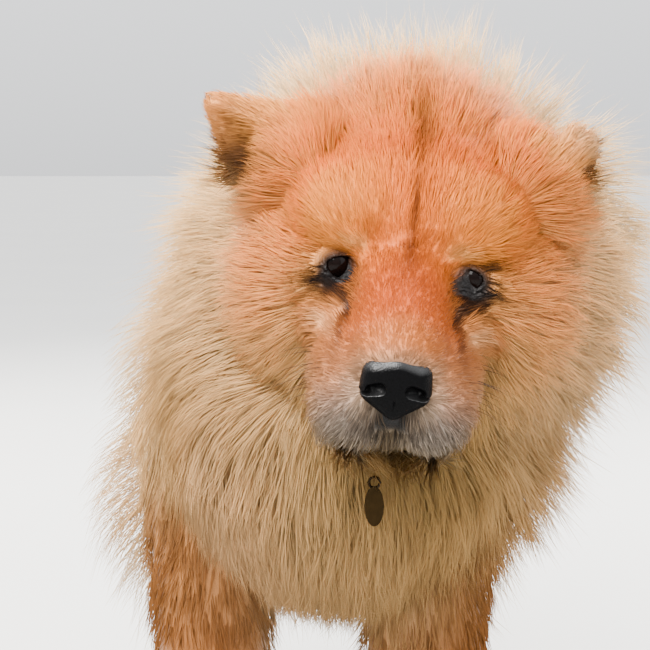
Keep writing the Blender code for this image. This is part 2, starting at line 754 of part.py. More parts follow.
def body():
    limbs = BODY_LIMBS + [foreleg(side) for side in SIDES] + [hind_leg(side) for side in SIDES]
    forms = list(BODY_FORMS)
    for side in SIDES:
        forms += paw(side, FORELEG_X, FORE_PAW_Y, FORE_STEP[side])
        forms += paw(side, HIND_X, HIND_PAW_Y, HIND_STEP[side])
    obj = blended("body", forms, limbs, 0.005, 1750)
    boolean(obj, [block((-1, -1, -1), (1, 1, 0))], "DIFFERENCE")
    for side in SIDES:
        boolean(obj, [claws(side, FORELEG_X, FORE_PAW_Y, FORE_STEP[side])], "UNION")
        boolean(obj, [claws(side, HIND_X, HIND_PAW_Y, HIND_STEP[side])], "UNION")
    return obj


def tail():
    return blended("tail", [], [TAIL_LIMB], 0.005, 300)


def finished(obj, name, colour, roughness):
    """Names a piece, gives it its own material, shades it smooth and sets it in the part's frame."""
    obj.name = obj.data.name = name
    material = bpy.data.materials.new(name)
    material.use_nodes = True
    shader = material.node_tree.nodes["Principled BSDF"]
    shader.inputs["Base Color"].default_value = (*colour, 1.0)
    shader.inputs["Roughness"].default_value = roughness
    obj.data.materials.clear()
    obj.data.materials.append(material)
    obj.data.transform(Matrix.Translation(CENTRE_SHIFT))
    obj.data.shade_smooth()
    return obj


ORANGE = (0.76, 0.35, 0.12)
CREAM = (0.78, 0.58, 0.33)
LEG = (0.55, 0.27, 0.09)
BLACK = (0.012, 0.011, 0.011)
BRONZE = (0.10, 0.07, 0.035)


def wire_ring(radius, wire, steps, sides):
    """A closed ring of round wire about the Z axis."""
    bm = bmesh.new()
    rows = []
    for i in range(steps):
        turn = math.tau * i / steps
        row = []
        for j in range(sides):
            out = radius + wire * math.cos(math.tau * j / sides)
            height = wire * math.sin(math.tau * j / sides)
            row.append(bm.verts.new((out * math.cos(turn), out * math.sin(turn), height)))
        rows.append(row)
    for i in range(steps):
        for j in range(sides):
            k, m = (i + 1) % steps, (j + 1) % sides
            bm.faces.new((rows[i][j], rows[k][j], rows[k][m], rows[i][m]))
    return object_from(bm, "ring")


def tag(coat):
    """A small blank oval tag with its ring, lying against the hair of the chest."""
    tree = surface_of(coat)
    half_x, half_y, half_z = TAG_HALF
    heights = (TAG_AT.z - half_z, TAG_AT.z, TAG_AT.z + half_z)
    fronts = [rooted(tree, (TAG_AT.x, -0.5, z), (TAG_AT.x, 0.0, z)).y for z in heights]
    turn = Matrix.Rotation(math.pi / 2, 4, "X")
    place = Matrix.Translation((TAG_AT.x, min(fronts) - half_y + GAP * 2, TAG_AT.z)) @ turn
    bm = bmesh.new()
    bmesh.ops.create_cone(bm, cap_ends=True, segments=20, radius1=1.0, radius2=1.0, depth=1.0,
                          matrix=place @ Matrix.Diagonal((half_x, half_z, half_y * 2, 1.0)))
    plate = object_from(bm, "tag")
    ring = wire_ring(TAG_RING, TAG_WIRE, 8, 4)
    ring.data.transform(place @ Matrix.Translation((0, half_z + TAG_RING * 0.7, 0)))
    return boolean(plate, [ring], "UNION")


def main():
    for obj in list(bpy.data.objects):
        bpy.data.objects.remove(obj)
    rng = random.Random(49)

    flesh, tail_piece, head_piece = body(), tail(), head_flesh()
    boolean(head_piece, [beyond(NECK_CUT, -GAP / 2)], "DIFFERENCE")
    front = head_room(head_piece)
    trunk = copied(flesh)
    for cutter in front:
        boolean(trunk, [copied(cutter)], "DIFFERENCE")
    surface, behind = surface_of(trunk, head_piece), surface_of(trunk)
    remove(trunk)
    coat = {}
    for root, piece in ruff_locks(surface, rng) + head_locks(surface, rng) + body_locks(surface, rng):
        coat.setdefault(node_of(root), []).append(piece)
    for root, piece in bib_locks(behind, rng):
        coat.setdefault(node_of(root, True), []).append(piece)
    plume = [piece for _, piece in tail_locks(surface_of(tail_piece), rng)]
    room = {name: [grown(piece) for piece in coat[name]] for name in ("head", "neck", "torso")}
    room["tail"] = [grown(piece) for piece in plume + [tail_piece]]

    nose_piece = nose_shape()
    eyes = {side: eye(side) for side in SIDES}
    ears = {side: ear_shape(side) for side in SIDES}
    shells = [shape for shape, _, _ in ears.values()]
    pieces = [nose_piece] + shells + list(eyes.values())
    skull = head(head_piece, coat["head"], pieces)

    neck = copied(flesh)
    boolean(neck, [beyond(SHOULDER_CUT, -GAP / 2)], "DIFFERENCE")
    boolean(neck, coat["neck"], "UNION")
    for cutter in [copied(piece) for piece in front] + [grown(piece) for piece in shells]:
        boolean(neck, [cutter], "DIFFERENCE")
    clear_of(neck, room["head"], [skull])
    tag_piece = tag(neck)
    boolean(neck, [grown(tag_piece)], "DIFFERENCE")

    boolean(tail_piece, plume, "UNION")
    clear_of(tail_piece, room["neck"], [neck])

    torso = copied(flesh)
    for _, roof, span in LEG_CELLS:
        for side in SIDES:
            boolean(torso, [leg_cell(side, *roof, *span, GAP)], "DIFFERENCE")
    boolean(torso, coat["torso"], "UNION")
    for cutter in [beyond(flipped(SHOULDER_CUT), -GAP / 2)] + front:
        boolean(torso, [cutter], "DIFFERENCE")
    clear_of(torso, room["head"] + room["neck"] + room["tail"], [skull, neck, tail_piece])

    for side in SIDES:
        for name, roof, span in LEG_CELLS:
            leg = boolean(copied(flesh), [leg_cell(side, *roof, *span)], "INTERSECT")
            boolean(leg, coat.get(f"{name}_{side}", []), "UNION")
            boolean(leg, [leg_cell(side, *roof, -1.0, 1.0)], "INTERSECT")
            clear_of(leg, room["torso"] + room["neck"], [torso, neck])
            finished(leg, f"{name}_{side}", LEG, 0.85)
        finished(ear(*ears[side]), f"ear_{side}", ORANGE, 0.85)
        finished(eyes[side], f"eye_{side}", BLACK, 0.1)
    finished(skull, "head", ORANGE, 0.85)
    for piece, name in ((neck, "neck"), (torso, "torso"), (tail_piece, "tail")):
        finished(piece, name, CREAM, 0.85)
    finished(nose(nose_piece), "nose", BLACK, 0.35)
    finished(tag_piece, "tag", BRONZE, 0.4)
    for pieces in room.values():
        for piece in pieces:
            remove(piece)
    remove(flesh)


main()
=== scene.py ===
import math

import bmesh
import bpy
import numpy as np
from mathutils import Matrix, Vector
from mathutils.bvhtree import BVHTree
from mathutils.kdtree import KDTree


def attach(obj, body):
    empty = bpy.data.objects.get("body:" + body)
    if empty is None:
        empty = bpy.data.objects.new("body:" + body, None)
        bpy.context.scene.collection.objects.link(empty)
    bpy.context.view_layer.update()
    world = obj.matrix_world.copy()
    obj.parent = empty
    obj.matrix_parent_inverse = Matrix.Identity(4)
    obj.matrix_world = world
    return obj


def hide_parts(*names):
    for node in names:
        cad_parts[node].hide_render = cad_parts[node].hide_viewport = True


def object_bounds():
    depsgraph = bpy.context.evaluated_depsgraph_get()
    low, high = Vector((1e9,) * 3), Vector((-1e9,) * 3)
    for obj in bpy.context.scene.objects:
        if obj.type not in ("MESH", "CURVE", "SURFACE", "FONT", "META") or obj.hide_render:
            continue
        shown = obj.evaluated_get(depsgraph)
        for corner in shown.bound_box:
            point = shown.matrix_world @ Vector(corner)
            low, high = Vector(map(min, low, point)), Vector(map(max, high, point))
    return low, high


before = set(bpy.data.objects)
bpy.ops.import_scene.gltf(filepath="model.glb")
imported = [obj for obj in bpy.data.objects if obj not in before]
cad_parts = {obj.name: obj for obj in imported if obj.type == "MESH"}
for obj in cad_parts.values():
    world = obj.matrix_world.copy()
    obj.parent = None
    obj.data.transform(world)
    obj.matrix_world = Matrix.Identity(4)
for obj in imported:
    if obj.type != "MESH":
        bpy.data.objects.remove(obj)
cad_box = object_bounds()


# Skin. The hide of the whole dog in one piece: head with lids, lips and cupped ears, neck, body, tail and
# four legs with their toes. It is modelled from a few named lumps that are blended into one another,
# and it lies under the coat by most of the coat's depth.

SHIFT = Vector((-0.0171, -0.150, 0.0))
SKIN_SHARE = 0.28
HEAD_AT = Vector((0.051, -0.129, 0.4885)) + SHIFT
HEAD = (
    Matrix.Translation(HEAD_AT)
    @ Matrix.Rotation(math.radians(-3.2), 4, "Z")
    @ Matrix.Rotation(math.radians(10.0), 4, "X")
    @ Matrix.Rotation(math.radians(6.0), 4, "Y")
)
SIDES = {"right": -1.0, "left": 1.0}
EYE_AT = Vector((0.0405, 0.0115, 0.0))
EYE_RADIUS = 0.0110
EYE_TILT = math.radians(12)
LID_THICKNESS = 0.0020
NOSE_AT = Vector((0.0, -0.078, -0.0395))
EAR_BASE = Vector((0.086, 0.060, 0.052))
EAR_TIPS = {"right": Vector((-0.129, 0.064, 0.080)), "left": Vector((0.102, 0.062, 0.081))}
EAR_ROUNDNESS = {"right": 0.0078, "left": 0.0120}
EAR_MOUTHS = {"right": Vector((-0.50, -0.86, 0.0)), "left": Vector((0.93, -0.36, 0.0))}
FORELEG_X = 0.073
HIND_X = 0.088
FORE_STEP = {"right": 0.008, "left": -0.016}
HIND_STEP = {"right": -0.010, "left": 0.012}
TOES = ((-0.0225, 0.024), (-0.0080, 0.034), (0.0080, 0.034), (0.0225, 0.024))


def lump(at, radii, coat):
    """One lump of flesh: its centre, its half sizes, and the depth of the coat over it."""
    radii = Vector(radii) if hasattr(radii, "__len__") else Vector((radii,) * 3)
    coat = Vector(coat) if hasattr(coat, "__len__") else Vector((coat,) * 3)
    return Vector(at), radii + coat * SKIN_SHARE


def run(*stations):
    """Round stations that are joined as one tapering length."""
    return [(Vector(at), radius + coat * SKIN_SHARE) for at, radius, coat in stations]


def beside(point, side, step=0.0):
    return Vector((point[0] * SIDES[side], point[1] + step, point[2]))


HEAD_LUMPS = [
    lump((0, 0.062, 0.010), (0.072, 0.062, 0.062), 0.014),
    lump((0, 0.088, 0.036), (0.056, 0.050, 0.044), (0.030, 0.030, 0.028)),
    lump((0, -0.036, -0.044), (0.044, 0.041, 0.035), 0.003),
    lump((0, -0.040, -0.070), (0.026, 0.024, 0.013), 0.003),
    lump((0, 0.035, -0.060), (0.052, 0.056, 0.034), (0.030, 0.008, 0.012)),
] + [
    lump((side * x, y, z), radii, coat)
    for side in (-1, 1)
    for (x, y, z), radii, coat in (
        ((0.030, 0.030, 0.026), (0.036, 0.032, 0.030), 0.005),
        ((0.048, 0.048, -0.026), (0.037, 0.052, 0.048), (0.040, 0.006, 0.032)),
        ((0.028, -0.004, -0.030), (0.024, 0.030, 0.022), 0.004),
        ((0.067, 0.058, 0.042), (0.028, 0.026, 0.032), 0.006),
    )
]
HEAD_RUNS = [
    run(((0, 0.004, -0.010), 0.028, 0.003), ((0, -0.059, -0.029), 0.026, 0.002)),
    run(((0, 0.112, -0.024), 0.070, 0.036), ((0, 0.170, -0.024), 0.084, 0.030)),
] + [
    run(((side * 0.0230, -0.020, -0.050), 0.0235, 0.003), ((side * 0.0205, -0.057, -0.0585), 0.0225, 0.002))
    for side in (-1, 1)
]
BODY_LUMPS = [
    lump((0.008, 0.055, 0.374), (0.102, 0.150, 0.112), (0.056, 0.020, 0.038)),
    lump((0.016, -0.030, 0.376), (0.084, 0.066, 0.072), (0.052, 0.040, 0.018)),
    lump((0.005, 0.145, 0.386), (0.098, 0.100, 0.104), (0.058, 0.020, 0.036)),
    lump((0.002, 0.235, 0.388), (0.092, 0.130, 0.094), (0.062, 0.020, 0.036)),
    lump((0.0, 0.335, 0.394), (0.092, 0.088, 0.088), (0.052, 0.030, 0.040)),
    lump((0.060, 0.026, 0.484), (0.078, 0.070, 0.078), (0.078, 0.050, 0.080)),
]
NECK_RUN = run(((0.032, 0.050, 0.432), 0.092, 0.070), ((0.058, -0.036, 0.474), 0.080, 0.070))
TAIL_RUN = run(
    ((0.000, 0.400, 0.452), 0.032, 0.020),
    ((0.000, 0.434, 0.512), 0.028, 0.034),
    ((-0.008, 0.396, 0.552), 0.024, 0.042),
    ((-0.020, 0.315, 0.550), 0.020, 0.044),
    ((-0.032, 0.250, 0.534), 0.014, 0.036),
)


def foreleg_run(side):
    stations = (
        ((0.074, 0.030, 0.370), 0.045, 0.020),
        ((0.0740, 0.014, 0.268), 0.038, 0.012),
        ((FORELEG_X, 0.004, 0.190), 0.034, 0.010),
        ((FORELEG_X, -0.003, 0.100), 0.027, 0.007),
        ((FORELEG_X, -0.008, 0.048), 0.025, 0.005),
    )
    return run(*((beside(at, side, FORE_STEP[side]), radius, coat) for at, radius, coat in stations))


def hind_run(side):
    stations = (
        ((0.080, 0.338, 0.366), 0.064, 0.044),
        ((0.096, 0.304, 0.276), 0.058, 0.034),
        ((0.098, 0.350, 0.194), 0.044, 0.030),
        ((0.091, 0.378, 0.128), 0.029, 0.014),
        ((HIND_X, 0.374, 0.050), 0.024, 0.006),
    )
    return run(*((beside(at, side, HIND_STEP[side]), radius, coat) for at, radius, coat in stations))


def paw_lumps(side, x, y, step):
    middle = beside((x, y, 0.021), side, step)
    toes = [lump(middle, (0.030, 0.038, 0.024), 0.003)]
    for across, ahead in TOES:
        toes.append(lump(middle + Vector((across, -ahead, -0.006)), (0.0115, 0.0150, 0.0145), 0.0015))
    return toes


def object_from(bm, name):
    bm.normal_update()
    bmesh.ops.recalc_face_normals(bm, faces=bm.faces)
    mesh = bpy.data.meshes.new(name)
    bm.to_mesh(mesh)
    bm.free()
    obj = bpy.data.objects.new(name, mesh)
    bpy.context.scene.collection.objects.link(obj)
    return obj


def ball(bm, at, radii, fineness=3):
    place = Matrix.Translation(at) @ Matrix.Diagonal((*radii, 1.0))
    bmesh.ops.create_icosphere(bm, subdivisions=fineness, radius=1.0, matrix=place)


def hulled(spheres, fineness=3):
    """The closed skin drawn tight over a few (place, radii) ellipsoids."""
    bm = bmesh.new()
    for at, radii in spheres:
        ball(bm, Vector(at), radii, fineness)
    bmesh.ops.delete(bm, geom=bm.faces[:] + bm.edges[:], context="EDGES_FACES")
    found = bmesh.ops.convex_hull(bm, input=bm.verts)
    inside = [v for v in found["geom_interior"] if isinstance(v, bmesh.types.BMVert)]
    bmesh.ops.delete(bm, geom=inside, context="VERTS")
    return bm


def apply_modifiers(obj):
    depsgraph = bpy.context.evaluated_depsgraph_get()
    depsgraph.update()
    mesh = bpy.data.meshes.new_from_object(obj.evaluated_get(depsgraph))
    obj.modifiers.clear()
    obj.data = mesh
    return obj


def melted(obj, voxel, passes):
    """Blends all the overlapping pieces of an object into one even mesh and softens it."""
    remesh = obj.modifiers.new("blend", "REMESH")
    remesh.mode = "VOXEL"
    remesh.voxel_size = voxel
    soften = obj.modifiers.new("soften", "SMOOTH")
    soften.factor = 0.5
    soften.iterations = passes
    return apply_modifiers(obj)


def gathered(name, lumps, runs, place, extra=()):
    """One object that holds a group of lumps and runs, not yet blended."""
    shapes = bmesh.new()
    for at, radii in lumps:
        ball(shapes, at, radii, 4)
    for stations in runs:
        for (at_a, radius_a), (at_b, radius_b) in zip(stations, stations[1:]):
            hull = hulled([(at_a, (radius_a,) * 3), (at_b, (radius_b,) * 3)], 4)
            piece = bpy.data.meshes.new("run")
            hull.to_mesh(piece)
            hull.free()
            shapes.from_mesh(piece)
            bpy.data.meshes.remove(piece)
    for other in extra:
        shapes.from_mesh(other.data)
        bpy.data.objects.remove(other)
    obj = object_from(shapes, name)
    obj.data.transform(place)
    return obj


def boolean(target, others, operation):
    group = bpy.data.collections.new("pieces")
    for other in others:
        group.objects.link(other)
    modifier = target.modifiers.new("join", "BOOLEAN")
    modifier.operation = operation
    modifier.operand_type = "COLLECTION"
    modifier.collection = group
    modifier.solver = "MANIFOLD"
    apply_modifiers(target)
    for other in others:
        bpy.data.objects.remove(other)
    bpy.data.collections.remove(group)
    return target


def ear_frame(side):
    """The frame of an ear, with its mouth towards -Y and its tip up Z, and its length."""
    base = Vector((EAR_BASE.x * SIDES[side], EAR_BASE.y, EAR_BASE.z))
    tip = EAR_TIPS[side]
    up = (tip - base).normalized()
    ahead = (EAR_MOUTHS[side] - up * EAR_MOUTHS[side].dot(up)).normalized()
    across = up.cross(ahead).normalized()
    return Matrix.Translation(base) @ Matrix((across, -ahead, up)).transposed().to_4x4(), (tip - base).length


def ear_shape(side):
    """A small thick ear with a rounded tip, and the hollow of its cup."""
    place, length = ear_frame(side)
    round_tip = EAR_ROUNDNESS[side]
    shell = object_from(hulled([
        ((0, 0, -0.018), (0.0260, 0.0150, 0.014)),
        ((0, 0, 0.004), (0.0265, 0.0145, 0.016)),
        ((0, 0.002, length - round_tip), (round_tip, round_tip * 0.8, round_tip)),
    ]), "ear")
    cup = object_from(hulled([
        ((0, -0.0125, 0.002), (0.0180, 0.0100, 0.017)),
        ((0, -0.0080, length - 0.0165), (0.0045, 0.0048, 0.0060)),
    ]), "cup")
    for piece in (shell, cup):
        piece.data.transform(place)
    return boolean(shell, [cup], "DIFFERENCE")


def almond(at, side, half_width, half_height, depth, corners=28):
    """A prism with the pointed oval outline of an open eye, its outer end the higher one."""
    bm = bmesh.new()
    tilt = Matrix.Translation(at) @ Matrix.Rotation(-EYE_TILT * SIDES[side], 4, "Y")
    rings = []
    for y in (-depth, depth):
        ring = []
        for step in range(corners):
            turn = math.tau * step / corners
            x = half_width * math.cos(turn)
            z = half_height * math.sin(turn) * (1.0 - 0.35 * abs(math.cos(turn)) ** 3)
            ring.append(bm.verts.new(tilt @ Vector((x, y, z))))
        rings.append(ring)
    for i in range(corners):
        j = (i + 1) % corners
        bm.faces.new((rings[0][i], rings[0][j], rings[1][j], rings[1][i]))
    for ring in rings:
        bm.faces.new(ring)
    return object_from(bm, "opening")


def mouth_blade():
    """A thin blade along the line of the lips, which drops towards the corners, cut in as a groove."""
    half_thickness, outside, inside = 0.0009, 0.008, 0.011
    bm = bmesh.new()
    rings = []
    for step in range(-12, 13):
        share = step / 12
        turn = share * math.radians(80)
        drop = -0.0665 - 0.0120 * share ** 2
        at = Vector((0.056 * math.sin(turn), -0.028 - 0.063 * math.cos(turn), drop))
        inward = Vector((-at.x, -0.030 - at.y, 0.0)).normalized()
        edges = (at - inward * outside, at + inward * inside)
        ring = [
            bm.verts.new(edge + Vector((0, 0, half_thickness * sign)))
            for sign in (1, -1)
            for edge in edges
        ]
        rings.append((ring[0], ring[1], ring[3], ring[2]))
    for ring_a, ring_b in zip(rings, rings[1:]):
        for i in range(4):
            j = (i + 1) % 4
            bm.faces.new((ring_a[i], ring_a[j], ring_b[j], ring_b[i]))
    bm.faces.new(rings[0][::-1])
    bm.faces.new(rings[-1])
    return object_from(bm, "mouth")


def head_skin():
    """The head with its ears, eye sockets, lids with their openings, and the line of the mouth."""
    ears = [ear_shape(side) for side in SIDES]
    head = gathered("head_skin", HEAD_LUMPS, HEAD_RUNS, Matrix.Identity(4), ears)
    melted(head, voxel=0.0016, passes=7)
    for side, sign in SIDES.items():
        at = Vector((EYE_AT.x * sign, EYE_AT.y, EYE_AT.z))
        bowl, lids = bmesh.new(), bmesh.new()
        ball(bowl, at + Vector((0, -0.0215, 0.0)), (0.0180, 0.0125, 0.0125))
        ball(lids, at, (EYE_RADIUS + LID_THICKNESS,) * 3)
        boolean(head, [object_from(bowl, "bowl")], "DIFFERENCE")
        boolean(head, [object_from(lids, "lids")], "UNION")
        front = at - Vector((0.0045 * sign, EYE_RADIUS, 0))
        opening = almond(front, side, half_width=0.0098, half_height=0.0066, depth=0.0100)
        boolean(head, [opening], "DIFFERENCE")
    boolean(head, [mouth_blade()], "DIFFERENCE")
    melted(head, voxel=0.0012, passes=2)
    head.data.transform(HEAD)
    return head


def body_skin():
    """The trunk, neck, tail and legs, with the undersides of the paws cut flat at the floor."""
    lumps = list(BODY_LUMPS)
    for side in SIDES:
        lumps += paw_lumps(side, FORELEG_X, -0.020, FORE_STEP[side])
        lumps += paw_lumps(side, HIND_X, 0.352, HIND_STEP[side])
    runs = [NECK_RUN, TAIL_RUN] + [leg(side) for leg in (foreleg_run, hind_run) for side in SIDES]
    body = gathered("body_skin", lumps, runs, Matrix.Translation(SHIFT))
    melted(body, voxel=0.0032, passes=6)
    floor = bmesh.new()
    bmesh.ops.create_cube(floor, size=2.0, matrix=Matrix.Translation((0, 0, -1.0)))
    return boolean(body, [object_from(floor, "floor_cut")], "DIFFERENCE")


def skin_piece():
    """Head and body as one hide, thinned to a mesh of about a hundred and sixty thousand triangles."""
    skin = boolean(body_skin(), [head_skin()], "UNION")
    lighter = skin.modifiers.new("lighter", "DECIMATE")
    lighter.ratio = 0.36
    apply_modifiers(skin)
    skin.name = skin.data.name = "skin"
    return skin


skin = skin_piece()
skin.data.shade_smooth()


# The coat's plan: for each place on the dog, how long, how wide, how crowded and what colour the
# hair is, with painted shade under the jaw, on the chest below it and in the cups of the ears,
# and the way it lies. Places on the head are measured from the point between the eyes.

def rgb(code):
    """An sRGB hex colour as linear red, green and blue."""
    parts = [int(code[i:i + 2], 16) / 255 for i in (1, 3, 5)]
    return [c / 12.92 if c <= 0.04045 else ((c + 0.055) / 1.055) ** 2.4 for c in parts]


# place, reach, length and width in mm, crowd per square cm, lie, lifts at root and tip, colour
HEAD_PLAN = (
    ((0.000, -0.072, -0.020), 0.012, 3.5, 0.6, 56, (0, 1, 0.3), (0.26, 0.08), "#b8652c"),
    ((0.000, -0.052, -0.008), 0.014, 4.5, 0.6, 50, (0, 1, 0.2), (0.24, 0.06), "#b54a10"),
    ((0.000, -0.030, 0.002), 0.018, 6.0, 0.6, 46, (0, 1, 0.2), (0.20, 0.05), "#b84c10"),
    ((0.028, -0.062, -0.040), 0.014, 5.0, 0.6, 50, (0.5, 1, -0.1), (0.26, 0.08), "#b67144"),
    ((0.022, -0.050, -0.020), 0.013, 5.0, 0.6, 48, (0.3, 1, 0.1), (0.24, 0.06), "#b65418"),
    ((0.036, -0.030, -0.040), 0.018, 7.0, 0.7, 40, (0.4, 1, -0.1), (0.26, 0.08), "#c06a2e"),
    ((0.022, -0.070, -0.062), 0.014, 6.0, 0.6, 50, (0.4, 0.7, -0.7), (0.28, 0.10), "#766e67"),
    ((0.038, -0.030, -0.062), 0.016, 8.0, 0.7, 40, (0.4, 0.8, -0.6), (0.28, 0.10), "#b08a66"),
    # painted shade under the jaw, laid over the grey of the chin
    ((0.000, -0.064, -0.084), 0.016, 7.0, 0.7, 40, (0, 0.5, -1), (0.35, 0.12), "#6a6054"),
    ((0.041, 0.000, -0.003), 0.010, 4.0, 0.5, 60, (0.5, 0.6, -0.6), (0.28, 0.10), "#0c0808"),
    ((0.034, -0.006, -0.020), 0.012, 7.0, 0.7, 44, (0.6, 0.9, -0.4), (0.28, 0.10), "#dc8038"),
    ((0.012, 0.000, 0.012), 0.016, 7.0, 0.7, 44, (0.2, 0.7, 0.7), (0.22, 0.08), "#d06014"),
    ((0.034, 0.010, 0.030), 0.018, 10.0, 0.8, 38, (0.4, 0.7, 0.8), (0.35, 0.14), "#f18727"),
    ((0.000, 0.016, 0.050), 0.020, 14.0, 0.8, 32, (0, 0.6, 1), (0.38, 0.18), "#ef721a"),
    ((0.040, 0.030, 0.060), 0.022, 18.0, 0.9, 28, (0.4, 0.8, 0.7), (0.42, 0.20), "#f48428"),
    ((0.064, 0.022, 0.014), 0.022, 20.0, 0.9, 24, (0.7, 0.8, 0.1), (0.42, 0.16), "#ee9038"),
    ((0.070, 0.020, -0.024), 0.026, 28.0, 0.9, 18, (0.8, 0.7, -0.3), (0.55, 0.18), "#f0a75c"),
    ((0.056, 0.010, -0.056), 0.024, 26.0, 0.9, 18, (0.6, 0.6, -0.8), (0.50, 0.18), "#eab874"),
    ((0.082, 0.055, -0.030), 0.030, 48.0, 1.0, 12, (0.8, 0.9, -0.3), (0.70, 0.28), "#f9cb8e"),
    ((0.060, 0.050, -0.085), 0.030, 44.0, 1.0, 12, (0.5, 0.7, -0.9), (0.60, 0.22), "#d4ac76"),
    # painted shade: the throat under the head, darkened where the head shades it
    ((0.000, 0.010, -0.094), 0.026, 24.0, 1.0, 16, (0, 0.5, -1), (0.45, 0.15), "#7c6840"),
    ((0.000, 0.052, 0.080), 0.022, 26.0, 0.9, 20, (0, 0.9, 0.6), (0.58, 0.30), "#f3882c"),
    ((0.040, 0.070, 0.074), 0.024, 32.0, 0.9, 18, (0.4, 0.9, 0.5), (0.60, 0.30), "#f79432"),
    ((0.000, 0.090, 0.094), 0.026, 46.0, 1.0, 14, (0, 1, 0.6), (0.90, 0.50), "#f9a950"),
    ((0.045, 0.110, 0.075), 0.030, 60.0, 1.0, 12, (0.4, 1, 0.4), (0.85, 0.40), "#fbcd90"),
    ((0.078, 0.054, 0.066), 0.020, 22.0, 0.9, 24, (1.0, 0.5, 0.45), (0.42, 0.18), "#f8a650"),
    ((0.080, 0.085, 0.010), 0.030, 58.0, 1.0, 12, (0.8, 1, -0.1), (0.80, 0.36), "#f9cf92"),
)
